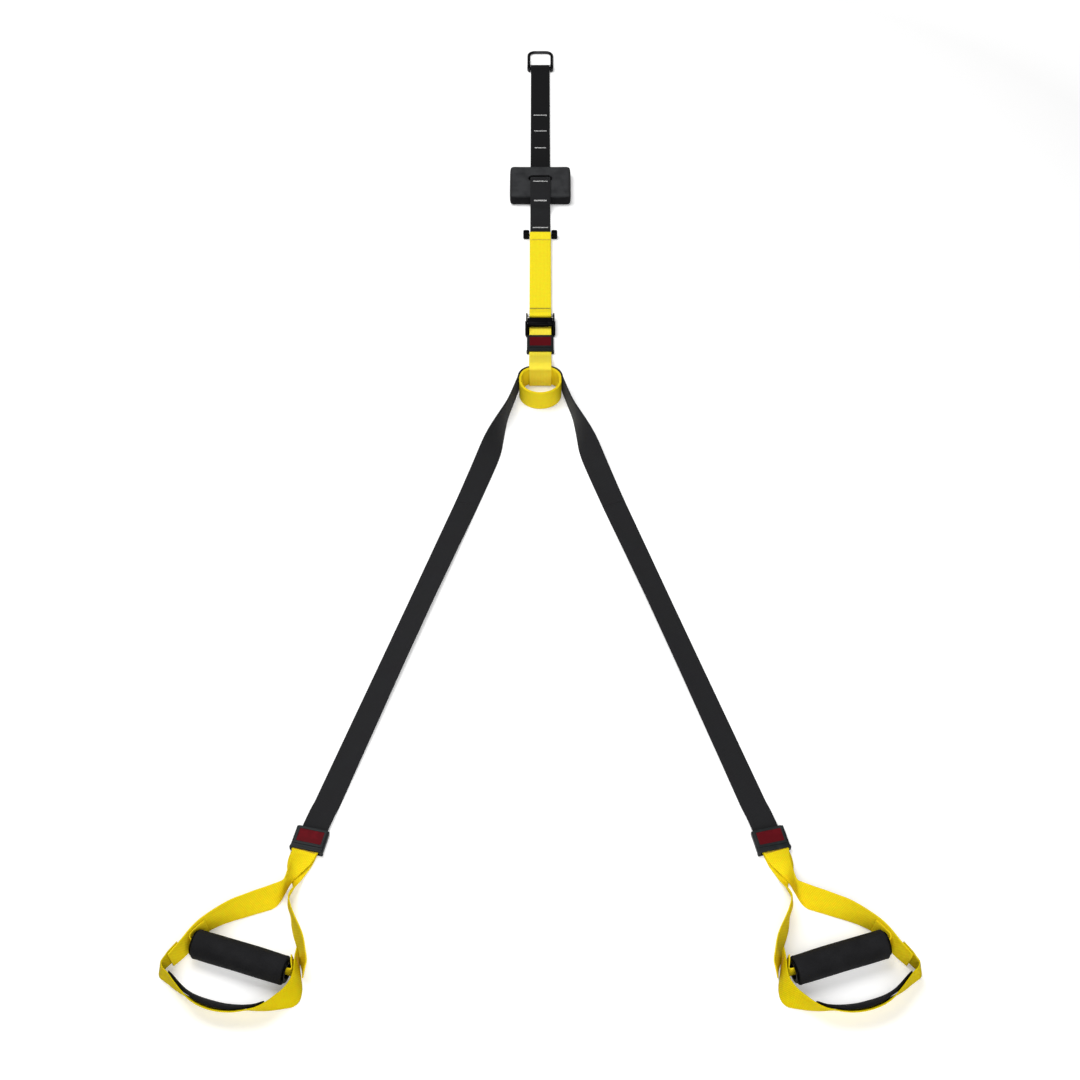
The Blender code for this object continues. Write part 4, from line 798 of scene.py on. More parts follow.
# The flap's sealed end as a dark brown strip; its darkness is partly the sealed edge and partly painted shadow of the
# top ply's end.
add_part("main_sealed_end_and_shade",
         rounded_block((0.0, BUCKLE_EYE[0] + 0.0168, low_z + 1.5 * PLY), (0.0374, 0.0014, PLY), 0.0004, 8),
         brown_thread, "webbing_yellow", "strap", weld=WELD)
for name, thread, spot_y, spot_z, depth in (
        ("main_tack_end", brown_thread, BUCKLE_EYE[0] + 0.0145, low_z + 2 * PLY, 0.0026),
        ("main_tack_second", yellow_thread, BUCKLE_EYE[0] + 0.0070, low_z + 2.9 * PLY, 0.002),
        ("main_tack_link", yellow_thread, LINK_FRONT[0] - 0.0155, high_z + PLY, 0.003)):
    tack = bar_tack(name, (0, spot_y, spot_z), (0, 1, 0), (1, 0, 0), 0.035, depth, (0, 0, 1), thread, count=46)
    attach(tack, "strap")


# ---- Adjuster strap ---------------------------------------------------------------------------------------
# Yellow webbing in one ply. It comes out of the buckle, passes through the centre keeper, goes over and round
# the back of the locking loop, and comes back under itself into the keeper, where it is sewn.

adjuster_webbing = webbing_cloth("adjuster_nylon_webbing", (1.0, 0.94, 0.10), (0.92, 0.70, 0.030), 0.70,
                                 0.0030, 0.0026, 190.0, 0.22)
LOOP_FLATNESS, LOOP_HALF_X, LOOP_HALF_Y, LOOP_WALL = 0.75, 0.0355, 0.0305, 0.004
WEB_WIDTH, WEB_ROOM = 0.038, 0.0009


def loop_line(inset, start, end, count):
    """An ellipse whose back is flattened: at an angle from 0 to 180 degrees both the cosine and the sine are raised
    to a power below one before they are multiplied by the half widths."""
    angle = np.radians(np.linspace(start, end, count))
    power = np.where(np.sin(angle) > 0, LOOP_FLATNESS, 1.0)
    bend = [np.copysign(np.abs(f(angle)) ** power, f(angle)) for f in (np.cos, np.sin)]
    return np.column_stack([(LOOP_HALF_X - inset) * bend[0], LOOP_Y + (LOOP_HALF_Y - inset) * bend[1]])


def loop_back(inset, x):
    """How far back that ellipse lies at x: the half width times one less x's share raised to two over the power."""
    share = (x / (LOOP_HALF_X - inset)) ** (2 / LOOP_FLATNESS)
    return (LOOP_HALF_Y - inset) * (1 - share) ** (LOOP_FLATNESS / 2)


LEVEL, UNDER, LOW, LOOP_LIFT = 0.0051, 0.0028, 0.0013, 0.0029
inside = loop_back(LOOP_WALL, WEB_WIDTH / 2) - WEB_ROOM - PLY / 2
outside = LOOP_HALF_Y + 0.0003 + PLY + WEB_ROOM + PLY / 2
over = LOOP_LIFT + WEB_WIDTH + WEB_ROOM + PLY / 2
KEEPER_LOW, KEEPER_HIGH = 0.099, 0.1375
slope, bend = KEEPER_LOW - outside, 1.8 * PLY
adjuster_knots = np.vstack([
    (0.3317, LEVEL), (KEEPER_HIGH, LEVEL), (KEEPER_LOW + 0.01155, LEVEL), (KEEPER_LOW, LEVEL),
    (KEEPER_LOW - 0.06 * slope, LEVEL + 0.015 * over), (KEEPER_LOW - 0.16 * slope, LEVEL + 0.06 * over),
    (outside + 0.42 * slope, 0.62 * over), (outside + 0.16 * slope, 0.88 * over), (outside, over),
    ((inside + outside) / 2, over + 0.3 * PLY), (inside + 0.12 * LOOP_WALL, over - 0.2 * PLY), (inside, 0.8 * over),
    (inside, 0.4 * over), (inside, LOW + 1.5 * bend), rounded_corner((inside + bend, LOW + bend), bend, 180, 270, 6),
    (inside + 1.5 * bend, LOW), (outside + 0.3 * slope, LOW), (outside + 0.65 * slope, LOW),
    (KEEPER_LOW - 0.2 * slope, LOW), (KEEPER_LOW - 0.12 * slope, LOW + 0.2 * (UNDER - LOW)),
    (KEEPER_LOW - 0.03 * slope, LOW + 0.9 * (UNDER - LOW)), (KEEPER_LOW + 0.04 * slope, UNDER),
    ((KEEPER_LOW + KEEPER_HIGH) / 2, UNDER)])
adjuster_line = flowing_line(adjuster_knots, 0.0018) + [LOOP_Y, 0]
add_webbing("adjuster_webbing", strap_edges(adjuster_line, STRAP_WIDTH), adjuster_webbing, "adjuster_strap", "adjuster")


# ---- Locking loop -----------------------------------------------------------------------------------------
# A stiff band of two plies of yellow webbing sewn into a ring, which stands on its edge. The legs' strap pulls
# on its back, so it is flatter there.

def standing_edges(outline, low_z, high_z):
    """The upper and lower edge of webbing that stands on its edge along an outline in X and Y."""
    return [np.column_stack([outline, np.broadcast_to(z, len(outline))]) for z in (high_z, low_z)]


loop_webbing = webbing_cloth("loop_nylon_webbing", (0.99, 0.88, 0.024), (0.87, 0.62, 0.006), 0.70, 0.0030, 0.0026,
                             190.0)
BAND_SLOPE, BAND_MIDDLE, BAND_HALF = 0.0026 / 0.061, 0.0206, 0.0189
for name, inset in (("locking_loop_outer_ply", 0.001), ("locking_loop_inner_ply", 0.003)):
    outline = loop_line(inset, 0, 358, 120)
    rise = BAND_MIDDLE + (outline[:, 1] - LOOP_Y) * BAND_SLOPE
    add_webbing(name, standing_edges(outline, rise - BAND_HALF, rise + BAND_HALF), loop_webbing, "locking_loop",
                "adjuster", thickness=0.00194, closed=True)


# ---- Running strap and legs -------------------------------------------------------------------------------
# One length of black webbing runs on edge round the back of the locking loop and goes on as the two legs,
# which roll flat within the first hand's width.

HEAD, LEG_LENGTH, PIVOT = math.radians(18.3), 0.897, np.array([-0.048, LOOP_Y - 0.028])
HALF_WEB = WEB_WIDTH / 2
bight = loop_line(-0.0019, 8, 172, 90)
add_webbing("running_webbing", standing_edges(bight, LOOP_LIFT, LOOP_LIFT + WEB_WIDTH), black_webbing, "running_strap",
            "adjuster")
heading = np.array([-math.sin(HEAD), -math.cos(HEAD)])
first = bight[-1] + [0.0, -0.0002]
leg_knots = [first, 0.5 * (first + PIVOT) + [0.000075, 0.0], PIVOT]
leg_knots += [PIVOT + heading * LEG_LENGTH * share for share in (0.03, 0.06, 0.1, 0.16, 0.3, 0.5, 0.7, 0.85, 0.95)]
leg_knots.append(PIVOT + heading * (LEG_LENGTH - 0.00385))
leg_line = flowing_line(leg_knots, 0.003)
run = run_of(leg_line)
share = run / run[-1]
# The share of a quarter turn that the leg is rolled by, against its share of the length.
ROLL_AT = (0.0, 0.06, 0.075, 0.093, 0.118, 0.136, 0.155, 0.19, 0.25, 0.38, 0.5, 0.65, 0.85, 0.93, 1.0)
ROLL = (1.0, 0.98, 0.92, 0.80, 0.64, 0.46, 0.26, 0.12, 0.03, -0.07, -0.13, -0.12, -0.05, 0.0, 0.0)
roll = np.radians(90 * np.interp(share, ROLL_AT, ROLL))
roll = np.convolve(np.pad(roll, 6, mode="edge"), np.ones(13) / 13, mode="valid")
ahead = unit(np.gradient(leg_line, axis=0))
outward = np.column_stack([ahead[:, 1], -ahead[:, 0]])
keeper_share = 1 - 1.1 * 0.0385 / run[-1]
lift = np.interp(share, [0.0, 0.06, keeper_share - 0.02, keeper_share, 1.0],
                 [LOOP_LIFT, 0.0003, 0.0003, 0.003656, 0.003656])
level = lift + HALF_WEB * np.abs(np.sin(roll)) + PLY / 2 * np.cos(roll)
reach, tall = outward * (HALF_WEB * np.cos(roll))[:, None], HALF_WEB * np.sin(roll)
top = np.column_stack([leg_line + reach, level + tall])
bottom = np.column_stack([leg_line - reach, level - tall])
split = int(np.searchsorted(run, 0.26))
for word, side in (("left", 1.0), ("right", -1.0)):
    way = np.array([side, 1.0, 1.0])
    for part, rows, bodies, start, end in (
            ("upper", slice(0, split + 1), (f"leg_{word}", "adjuster"), PIVOT + heading * 0.05, leg_line[0]),
            ("lower", slice(split, None), (f"leg_{word}", f"keeper_body_{word}"), leg_line[split + 8], leg_line[-20])):
        leg = add_webbing(f"leg_{part}_{word}", (top[rows] * way, bottom[rows] * way), black_webbing,
                          f"leg_strap_{word}", gone=run[rows][0])
        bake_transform(leg)


# ---- Cam buckle -------------------------------------------------------------------------------------------
# A moulded nylon frame with a floor, two cheeks and rounded ears, a steel cross bar, and a toothed cam lever that
# a small coil spring on the same steel pin presses onto the adjuster strap.

def round_pin(radius, start, end, count):
    """An arc about the cam's pin, with angles in degrees from towards the ring."""
    return rounded_corner(CAM_PIN, radius, start, end, count)


BUCKLE_LOW, BUCKLE_HIGH, CAM_PIN = LOOP_Y + 0.1387, LOOP_Y + 0.1867, np.array([LOOP_Y + 0.1602, 0.0116])
floor_low, floor_high = np.array([-0.0243, BUCKLE_LOW, 0.0020]), np.array([0.0243, BUCKLE_HIGH - 0.010, 0.0038])
add_part("buckle_floor", rounded_block((floor_low + floor_high) / 2, floor_high - floor_low, 0.0008, 10),
         black_nylon, "plastic_black", "buckle", "buckle_frame", weld=WELD)
cheek = rounded_outline([(BUCKLE_LOW, 0.0002), (BUCKLE_HIGH, 0.0002), (BUCKLE_HIGH, 0.0135),
                         (BUCKLE_HIGH - 0.012, 0.0168), (BUCKLE_LOW + 0.013, 0.0168), (BUCKLE_LOW, 0.0095)],
                        (0.0015, 0.002, 0.004, 0.006, 0.006, 0.004))
ear = rounded_outline([(BUCKLE_LOW + 0.0005, 0.0015), (CAM_PIN[0] + 0.0075, 0.0015), (CAM_PIN[0] + 0.0062, 0.0155),
                       (BUCKLE_LOW + 0.004, 0.0150)], (0.003, 0.004, 0.0055, 0.005))
for word, side in (("left", -1), ("right", 1)):
    for part, outline, near, far, edge in (("cheek", cheek, 0.0220, 0.0246, 0.0008),
                                           ("ear", ear, 0.0241, 0.0260, 0.0009)):
        add_part(f"buckle_{part}_{word}", slab(outline, *sorted((side * near, side * far)), edge), black_nylon,
                 "plastic_black", "buckle")
SPRING_TURNS, SPRING_LOW, SPRING_HIGH, SPRING_RADIUS = 4, 0.01437, 0.02195, 0.0033
angle = np.linspace(0, 2 * np.pi * SPRING_TURNS, 24 * SPRING_TURNS + 1)
coil = np.column_stack([np.linspace(SPRING_LOW, SPRING_HIGH, len(angle)),
                        CAM_PIN[0] + SPRING_RADIUS * np.cos(angle), CAM_PIN[1] + SPRING_RADIUS * np.sin(angle)])
for name, shape, node in (("buckle_cross_bar", bar_surface(BUCKLE_EYE, 0.002, 0.0236), "buckle_bar"),
                          ("cam_axle", bar_surface(CAM_PIN, 0.002, 0.0236), "cam_pin"),
                          ("cam_coil", wire_surface(coil, 0.00045, 10, False), "cam_spring")):
    add_part(name, shape, bar_steel, "steel", "buckle", node)

DRUM = 0.0052
bite = np.radians(np.linspace(205, 318, 25))
tooth = DRUM - 0.00055 * (np.arange(25) % 2)
tooth_line = np.column_stack([CAM_PIN[0] + tooth * np.cos(bite),
                              np.maximum(CAM_PIN[1] + tooth * np.sin(bite), CAM_PIN[1] - DRUM + 0.0001)])
thumb = CAM_PIN + [(0.0100, 0.0007), (0.0112, 0.0010), (0.0118, 0.0022), (0.0117, 0.0040), (0.0108, 0.0050),
                   (0.0090, 0.0052)]
lever = np.vstack([round_pin(DRUM, 95, 200, 14), tooth_line, round_pin(DRUM, 322, 350, 4), thumb])
hood = np.vstack([round_pin(DRUM, 95, 195, 12), round_pin(0.0042, 195, 12, 20), [CAM_PIN + (0.0050, 0.0007)], thumb])
add_part("cam_lever_body", slab(lever, -0.0217, 0.0132, 0.0006), black_nylon, "plastic_black", "cam", "cam_lever")
add_part("cam_lever_hood", slab(hood, 0.0128, 0.0217, 0.0003, 3), black_nylon, "plastic_black", "cam")
for number in range(4):
    rib = (CAM_PIN[0] + 0.0018 + 0.0023 * number, CAM_PIN[1] + DRUM - 0.0001)
    add_part(f"cam_rib_{number + 1}", bar_surface(rib, 0.00055, 0.0205), black_nylon, "plastic_black", "cam")


# ---- Keepers and plates -----------------------------------------------------------------------------------
# Three flat tubes moulded in black nylon, one on the adjuster strap and one on each leg. Each holds its sewn
# plies together, has a raised lip at its lower end, and carries a framed panel, which is left bare.

def flat_ring(half_x, half_z, corner, count=7):
    """A rounded rectangle about the origin in two coordinates, anticlockwise."""
    return np.vstack([rounded_corner((sx * (half_x - corner), sz * (half_z - corner)), corner, start, start + 90, count)
                      for sx, sz, start in ((1, 1, 0), (-1, 1, 90), (-1, -1, 180), (1, -1, 270))])


def hollow_sleeve(outer, inner, low, high, rim, axis=1):
    """A wall between two rounded rectangles carried along an axis: the wall's own section is a rounded rectangle too,
    so each point is a blend of the outer and the inner outline at a place along the axis."""
    lean = np.linspace(0, np.pi / 2, 4)
    edge, depth = rim * (1 - np.cos(lean)), rim * (1 - np.sin(lean))
    thick = np.linalg.norm(outer - inner, axis=1).min()
    along = np.concatenate([low + edge, (high - edge)[::-1], high - edge, (low + edge)[::-1]])
    share = np.concatenate([depth, depth[::-1], thick - depth, (thick - depth)[::-1]]) / thick
    flat_points = outer[None] * (1 - share)[:, None, None] + inner[None] * share[:, None, None]
    points = np.insert(flat_points, axis, 0.0, axis=2)
    points[:, :, axis] = along[:, None]
    return points.reshape(-1, 3), grid_faces(len(along), len(outer), True, True).tolist()


panel_red = moulded_plastic("panel_red", (0.088, 0.004, 0.007), 0.50, 1400.0, 1.4, 0.03)
frame_nylon = moulded_plastic("keeper_nylon", (0.012, 0.014, 0.015), 0.40, shine=0.08)
PANEL_SHIFT = 0.0035                 # the panel sits this far above the keeper's middle


def keeper(name, plate_name, body, spot, turn, tall, half_x, half_y):
    """The sleeve, its lip with two small ears, the frame on its top face and the panel in the frame, all turned about
    the upright axis and moved to the keeper's spot."""
    middle = np.array([0, tall / 2])
    outer, inner = flat_ring(half_x, middle[1], 0.0024), flat_ring(0.0196, middle[1] - 0.0012, 0.0008)
    sleeve = hollow_sleeve(outer + middle, inner + middle, -half_y, half_y, 0.0005)
    lip_outer = flat_ring(half_x + 0.0006, middle[1] + 0.0005, 0.0026) + middle + [0, 0.0005]
    lip = hollow_sleeve(lip_outer, inner + middle, -half_y - 0.0008, -half_y + 0.0030, 0.0005)
    ring, ring_faces = hollow_sleeve(flat_ring(half_x - 0.0025, 0.0148, 0.0020), flat_ring(0.0183, 0.0105, 0.0012),
                                     tall - 0.0003, tall + 0.0011, 0.0004, 2)
    panel = rounded_block((0, PANEL_SHIFT, tall + 0.0001), (0.0372, 0.0216, 0.0010), 0.0003, 12)
    c, s = math.cos(turn), math.sin(turn)
    for part, (points, faces), material, slot, node in (
            ("sleeve", sleeve, frame_nylon, "plastic_black", (name,)), ("lip", lip, frame_nylon, "plastic_black", ()),
            ("frame", (ring + [0, PANEL_SHIFT, 0], ring_faces), frame_nylon, "plastic_black", ()),
            ("panel", panel, panel_red, "plate_red", (plate_name,))):
        points = points @ np.array([[c, s, 0], [-s, c, 0], [0, 0, 1]]) + [*spot, 0.0]
        add_part(f"{name}_{part}", (points, faces), material, slot, body, *node, weld=WELD)


KEEPER_SKEW = math.radians(5.0)      # the leg keepers sit a little askew on their straps
keeper("centre_keeper", "centre_plate", "adjuster", (0.0, LOOP_Y + 0.11825), 0.0, 0.0079, 0.0230, 0.01925)
for word, side in (("left", 1), ("right", -1)):
    low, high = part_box(f"keeper_{word}")
    keeper(f"keeper_{word}", f"plate_{word}", f"keeper_body_{word}",
           ((low.x + high.x) / 2, (low.y + high.y) / 2 - 0.002), -side * (HEAD - KEEPER_SKEW), 0.0099, 0.0242, 0.0183)


# ---- Handles ----------------------------------------------------------------------------------------------
# Below its keeper each leg's yellow webbing parts into two plies. They stand up on edge and open into a triangle:
# the outer web, the inner web, and between their ends the foot loop, which hangs below the grip.

def handle_frame(side):
    """A handle's keeper end, the direction along the leg, the direction towards the trainer's middle, and up."""
    spot = np.array([side * (PIVOT[0] + heading[0] * LEG_LENGTH), PIVOT[1] + heading[1] * LEG_LENGTH, 0.0])
    along = np.array([side * heading[0], heading[1], 0.0])
    return spot, along, np.array([-side * heading[1], heading[0], 0.0]), np.array([0.0, 0.0, 1.0])


def in_handle(points, side):
    """Points given in millimetres along the leg, inwards and up, put in their place."""
    spot, *ways = handle_frame(side)
    return spot + np.asarray(points, float) / 1000 @ ways


def edges_of(stations, step=0.0022):
    """Both edges of a web as smooth lines through its stations: each station is one point of each edge, and the two
    lines are resampled together, by the distance along their middle."""
    both = flowing_line(np.reshape(stations, (-1, 6)) / 1000, step)
    return both[:, :3] * 1000, both[:, 3:] * 1000


# Each station has the upper edge's three coordinates, then the lower edge's.
OUTER_WEB = [(0, -19, 7.1, 0, 19, 7.1), (22, -19, 7.2, 22, 19, 7.1), (34, -14.5, 12, 38, 17, 7),
             (50, -9.5, 20, 58, 9.5, 6.8), (69.5, -3.6, 30.3, 78, 1.5, 4), (84, -.7, 35.5, 92.6, -1, 1),
             (90.5, -.9, 36, 103.5, -2, .8), (92.5, -5.8, 31.8, 113, -3.5, .8), (98.7, -13.6, 30.8, 121, -8, .8),
             (107.2, -22.2, 31.8, 127.5, -15.8, .8), (115.7, -30.9, 33.3, 133.8, -24.1, .8),
             (128.3, -44, 34.2, 145.3, -38.8, .8), (141.4, -56.8, 35.8, 155.1, -51.8, .8),
             (168.2, -75.3, 38, 171.5, -70, .8), (185.7, -85.3, 38.5, 183.2, -79.5, .8),
             (199, -90.8, 38.5, 200, -86, .8), (231, -98.9, 38.5, 230, -94.5, .8),
             (241, -102, 38.5, 238.5, -98.5, .8), (252, -104.6, 38.5, 247, -102.6, .8)]
INNER_WEB = [(0, 19, 2.36, 0, -19, 2.36), (22, 19, 2.36, 22, -19, 2.36), (40, 18.5, 2.6, 40, -18, 2),
             (58, 15.5, 3.8, 57, -12, 1.5), (70, 14.5, 8, 70, -1, 1.4), (80, 13.5, 14, 80, 6, 1.3),
             (97, 13, 27, 97, 6.5, .9), (112, 15.5, 35.5, 111, 11.5, .8), (127.2, 24.8, 38.2, 124.5, 21.5, .8),
             (140.5, 36.4, 37.9, 140.5, 29.6, .8), (150.9, 46.5, 37.5, 153.1, 37.5, .8),
             (161.5, 55.9, 37.2, 165.2, 46.5, .8), (183.7, 69.5, 37.2, 187.3, 60.5, .8),
             (202.2, 78.6, 37.6, 202.2, 70.4, .8), (210.4, 80, 37.8, 209.1, 73, .8)]
FOOT_LOOP = [(229, -101, 38.5, 229, -101, 1), (253.5, -107.6, 38.2, 254, -111.6, 1),
             (265.7, -108.4, 37.6, 264.6, -116.2, 1), (271.7, -102.8, 37.3, 269.7, -112.5, 1),
             (274.7, -96.6, 37.4, 272.5, -105.5, 1), (280.2, -88.7, 37.3, 275.5, -96.7, 1),
             (288.1, -77.4, 37, 280.5, -83.8, 1), (297.1, -63, 35.8, 284.5, -66, 1), (303, -50.4, 33.5, 285.2, -48, 1),
             (305.8, -39.1, 31.6, 284.5, -36.5, 1), (306.8, -28.2, 30.6, 284, -27.8, 1),
             (306.1, -10.3, 30.5, 283, -12, 1), (301.7, 8.6, 31.3, 280.5, 4, 1), (294, 26.1, 33.3, 277, 22, 1),
             (286.9, 39, 35.5, 273.5, 36, 1), (277.9, 48.2, 37.4, 269.4, 48, 1), (262.8, 57.3, 37.6, 261, 65.2, 1),
             (246.6, 63.8, 34.9, 252.8, 78.3, 1), (233.5, 66.3, 33.6, 242.6, 82.2, 1), (220.5, 66.5, 35.5, 226, 79, 1),
             (212, 64.6, 37.2, 213.5, 72.8, 1), (199, 60.8, 38.3, 200, 65.3, 1), (185, 58.2, 38.5, 184, 57.9, 1)]
handle_webbing = webbing_cloth("handle_nylon_webbing", (0.96, 0.84, 0.022), (0.80, 0.56, 0.004), 0.75,
                               fading=0.20, shine=0.03)
# The foot loop gets a darker copy of the handle webbing: painted shade.
foot_shaded_webbing = webbing_cloth("foot_shaded_nylon_webbing", (0.82, 0.69, 0.006), (0.58, 0.42, 0.002), 0.75, shine=0.03)
gold_thread = thread_material("gold_thread", (0.50, 0.27, 0.008))


def web_tack(name, edges, share, width, inside_spot):
    """A bar tack across a web, at a share of its length, on the face that looks away from the given spot."""
    high, low = edges
    at = round(share * (len(high) - 1))
    middle = (high + low) / 2
    along, across = unit(middle[at + 1] - middle[at - 1]), unit(low[at] - high[at])
    outward = unit(np.cross(along, across))
    outward *= np.sign(outward @ (middle[at] - inside_spot))
    return bar_tack(name, middle[at] + outward * PLY * 0.49, along, across, width, 0.0026, outward, gold_thread)


for word, side in (("left", 1), ("right", -1)):
    ends = f"keeper_body_{word}", f"handle_{word}", *in_handle([(14, 0, 5), (34, 0, 5)], side)
    for part, stations in (("outer", OUTER_WEB), ("inner", INNER_WEB)):
        edges = [in_handle(edge, side) for edge in edges_of(stations)]
        web = add_webbing(f"handle_{part}_webbing_{word}", edges, handle_webbing, f"handle_web_{part}_{word}")
        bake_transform(web)
        if part == "outer":
            under = in_handle((20, 0, -50), side)
            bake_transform(web_tack(f"keeper_tack_{word}", edges, 0.075, 0.034, under))
    edges, inside_spot = [in_handle(edge, side) for edge in edges_of(FOOT_LOOP)], in_handle((215, -15, 20), side)
    add_webbing(f"foot_loop_webbing_{word}", edges, foot_shaded_webbing, f"foot_loop_{word}", f"handle_{word}")
    for end, share in (("outer", 0.035), ("inner", 0.955)):
        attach(web_tack(f"foot_tack_{end}_{word}", edges, share, 0.029, inside_spot), f"handle_{word}")


# ---- Foot padding -----------------------------------------------------------------------------------------
# A soft black foam strip sewn along the inside of the foot loop's lowest stretch, thickest along its middle and
# thin at its edges and ends.

soft_foam = foam_material("padding_foam", (0.008, 0.008, 0.0085), (0.003, 0.003, 0.0035), depth=0.0005)


def padding_surface(high, low, thin, thick, offset, around=40):
    """A crowned strip between two edge lines. Its section goes round in powers of the cosine and sine, which round its
    edges; the crown falls with the square of the share across, and a high power of the share along closes its ends."""
    middle, breadth = (high + low) / 2, low - high
    face = unit(np.cross(unit(np.gradient(middle, axis=0)), breadth))
    rows = len(middle)
    along_share = np.abs(np.linspace(-1, 1, rows))
    end = np.maximum(1 - along_share**14, 0.0) ** 0.5
    lean = full_turn(around)
    reach, bulge = (np.copysign(np.abs(f(lean)) ** power, f(lean)) for f, power in ((np.cos, 0.55), (np.sin, 0.75)))
    crown = thin + (thick - thin) * (1 - reach**2)
    narrow = 1 - 0.16 * along_share**10
    points = (middle[:, None] + breadth[:, None] * (0.5 * reach[None, :] * narrow[:, None])[..., None]
              + face[:, None] * (offset + 0.5 * bulge * crown * np.maximum(end, 0.12)[:, None])[..., None])
    return points.reshape(-1, 3), tube_faces(rows, around)


for word, side in (("left", 1), ("right", -1)):
    high, low = edges_of(FOOT_LOOP[4:16], 0.0020)
    inset = (low - high) * 0.06
    upper_edge, lower_edge = in_handle(high + inset, side), in_handle(low - inset, side)
    shape = padding_surface(upper_edge, lower_edge, 0.0030, 0.0058, side * 0.0045)
    add_part(f"foot_padding_{word}", shape, soft_foam, "foam", f"handle_{word}", f"foot_pad_{word}")


# ---- Grips ------------------------------------------------------------------------------------------------
# A black foam sleeve on a plastic tube that spins on a folded yellow webbing core. Each end is closed by a
# moulded cap with a flange, and the core comes out through it and is sewn to the webs.

HANDLE_SIZE = np.array([312.0, 193.0, 38.0] * 2)
# These stations are shares of the handle's length, span and height.
OUTER_CORE = [(.588, -.4185, .89, .588, -.397, .12), (.641, -.454, .89, .641, -.430, .12),
              (.672, -.469, .88, .672, -.452, .14), (.686, -.464, .84, .686, -.456, .22),
              (.691, -.450, .81, .691, -.450, .29)]
INNER_CORE = [(.691, .291, .81, .691, .291, .29), (.691, .306, .81, .691, .306, .28),
              (.685, .317, .82, .685, .326, .26), (.670, .306, .82, .667, .329, .21),
              (.651, .291, .87, .646, .309, .16), (.628, .279, .895, .620, .289, .13)]
grip_middle, grip_half, grip_radius = np.array([215.6, -14.2, 21.2]), 67.0, 0.0208
core = [*(np.array(OUTER_CORE) * HANDLE_SIZE)]
core += [np.concatenate([grip_middle + [0.0, share * grip_half, rise] for rise in (10.0, -10.0)])
         for share in (-0.9, 0.0, 0.9)]
core += [*(np.array(INNER_CORE) * HANDLE_SIZE)]


def turned_surface(profile, middle, axis, sides=56):
    """A profile of distances along and out from an axis, turned about it: each point is the middle, plus its distance
    along the axis, plus its radius along the cosine and sine of two directions square to it. It closes on itself."""
    axis, profile = unit(axis), np.asarray(profile, float)
    one = unit(np.cross(axis, [0.0, 0.0, 1.0]))
    two = np.cross(axis, one)
    angle = full_turn(sides)[:, None]
    ring = one * np.cos(angle) + two * np.sin(angle)
    points = np.asarray(middle) + axis * profile[:, None, :1] + ring[None] * profile[:, None, 1:]
    return points.reshape(-1, 3), grid_faces(len(profile), sides, True, True).tolist()


def rippled(piece, middle, inward, along, up):
    """The sleeve's outer wall with slight dents: a few slow sine waves along it and round it, added to its radius."""
    place = points_of(piece)
    reach = (place - middle) @ inward
    out = place - middle - reach[:, None] * inward
    radius = np.linalg.norm(out, axis=1)
    angle = np.arctan2(out @ up, out @ along)
    ripple = (0.00016 * np.sin(3 * angle + 31 * reach) + 0.00012 * np.sin(5 * angle - 57 * reach + 1.3)
              + 0.0001 * np.sin(88 * reach + 2 * angle))
    put_points(piece, place + out / radius[:, None] * (ripple * (radius > 0.0175))[:, None])


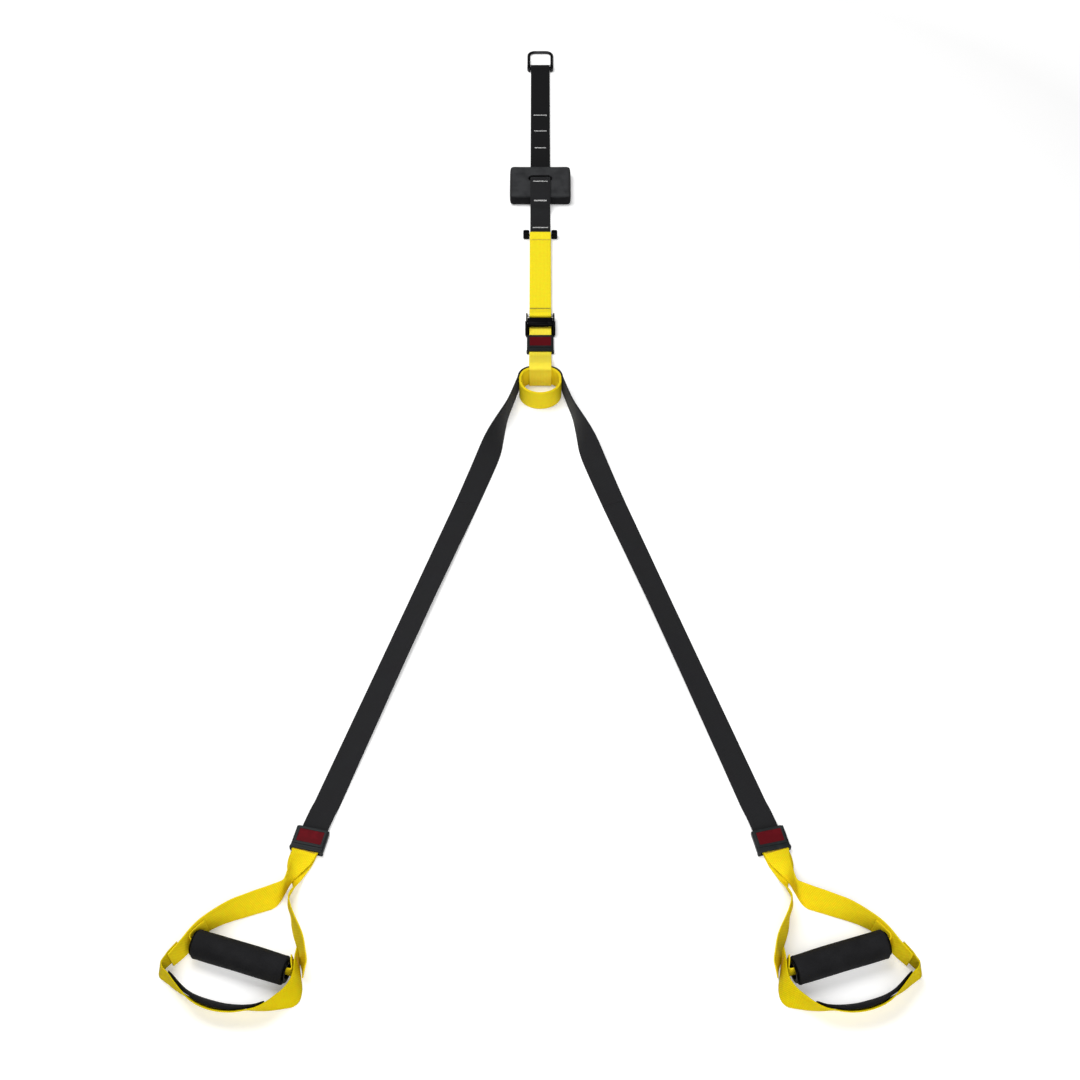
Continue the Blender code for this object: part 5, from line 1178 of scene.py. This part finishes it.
grip_foam = foam_material("grip_foam", (0.0145, 0.0145, 0.0160), (0.0040, 0.0040, 0.0045), 520.0, 0.0012)
tube_plastic = moulded_plastic("tube_plastic", (0.36, 0.36, 0.35), 0.35)
half = grip_half / 1000
lean = np.linspace(0, np.pi / 2, 9)
ends = np.column_stack([half - 0.0030 + 0.0029 * np.sin(lean), grip_radius - 0.0030 + 0.0030 * np.cos(lean)])
stations = np.linspace(half - 0.0031, -half + 0.0031, 60)[1:-1]
crown = np.column_stack([stations, grip_radius - 0.00045 * (stations / half) ** 2])
outside = np.vstack([ends[::-1], crown, ends * [-1, 1]])
inside_wall = np.column_stack([np.linspace(-half + 0.0001, half - 0.0001, 24), np.full(24, 0.01481)])
sleeve_profile = np.vstack([outside, inside_wall])
tube = [(-half, 0.0125), (half, 0.0125), (half, 0.0145), (-half, 0.0145)]
tube_profile = np.vstack([np.linspace(a, b, 8)[:-1] for a, b in zip(tube, tube[1:] + tube[:1])])
SPIGOT, CAP_BORE, FLANGE, REACH_OUT, RIM = 0.0122, 0.0110, 0.0172, 0.0030, 0.0012
cap_profile = np.vstack([[(-0.008, CAP_BORE), (-0.004, CAP_BORE), (REACH_OUT - 0.0008, CAP_BORE + 0.0002),
                          (REACH_OUT - 0.0002, CAP_BORE + 0.0008)],
                         rounded_corner((REACH_OUT - RIM, FLANGE - RIM), RIM, 0, 90, 6),
                         [(0.0006, FLANGE), (0.0003, FLANGE - 0.0003), (0.0003, SPIGOT + 0.0002), (-0.0005, SPIGOT),
                          (-0.008, SPIGOT)]])
for word, side in (("left", 1), ("right", -1)):
    _, along, inward, up = handle_frame(side)
    middle = in_handle(grip_middle, side)
    add_webbing(f"grip_core_webbing_{word}", [in_handle(edge, side) for edge in edges_of(core)], handle_webbing,
                f"grip_core_{word}", f"handle_{word}", thickness=PLY * 0.9)
    sleeve = add_part(f"grip_sleeve_{word}", turned_surface(sleeve_profile, middle, inward, 96), grip_foam, "foam",
                      f"grip_{word}", f"grip_foam_{word}")
    rippled(sleeve, middle, inward, along, up)
    add_part(f"grip_pipe_{word}", turned_surface(tube_profile, middle, inward), tube_plastic, "tube_plastic",
             f"grip_{word}", f"grip_tube_{word}")
    for end, way in (("outer", -1), ("inner", 1)):
        add_part(f"grip_end_{end}_{word}", turned_surface(cap_profile, middle + inward * way * half, inward * way),
                 black_nylon, "plastic_black", f"grip_{word}", f"grip_cap_{end}_{word}")


# ---- The whole trainer ------------------------------------------------------------------------------------
# The box of every piece that is shown here.

bpy.context.view_layer.update()
low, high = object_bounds()
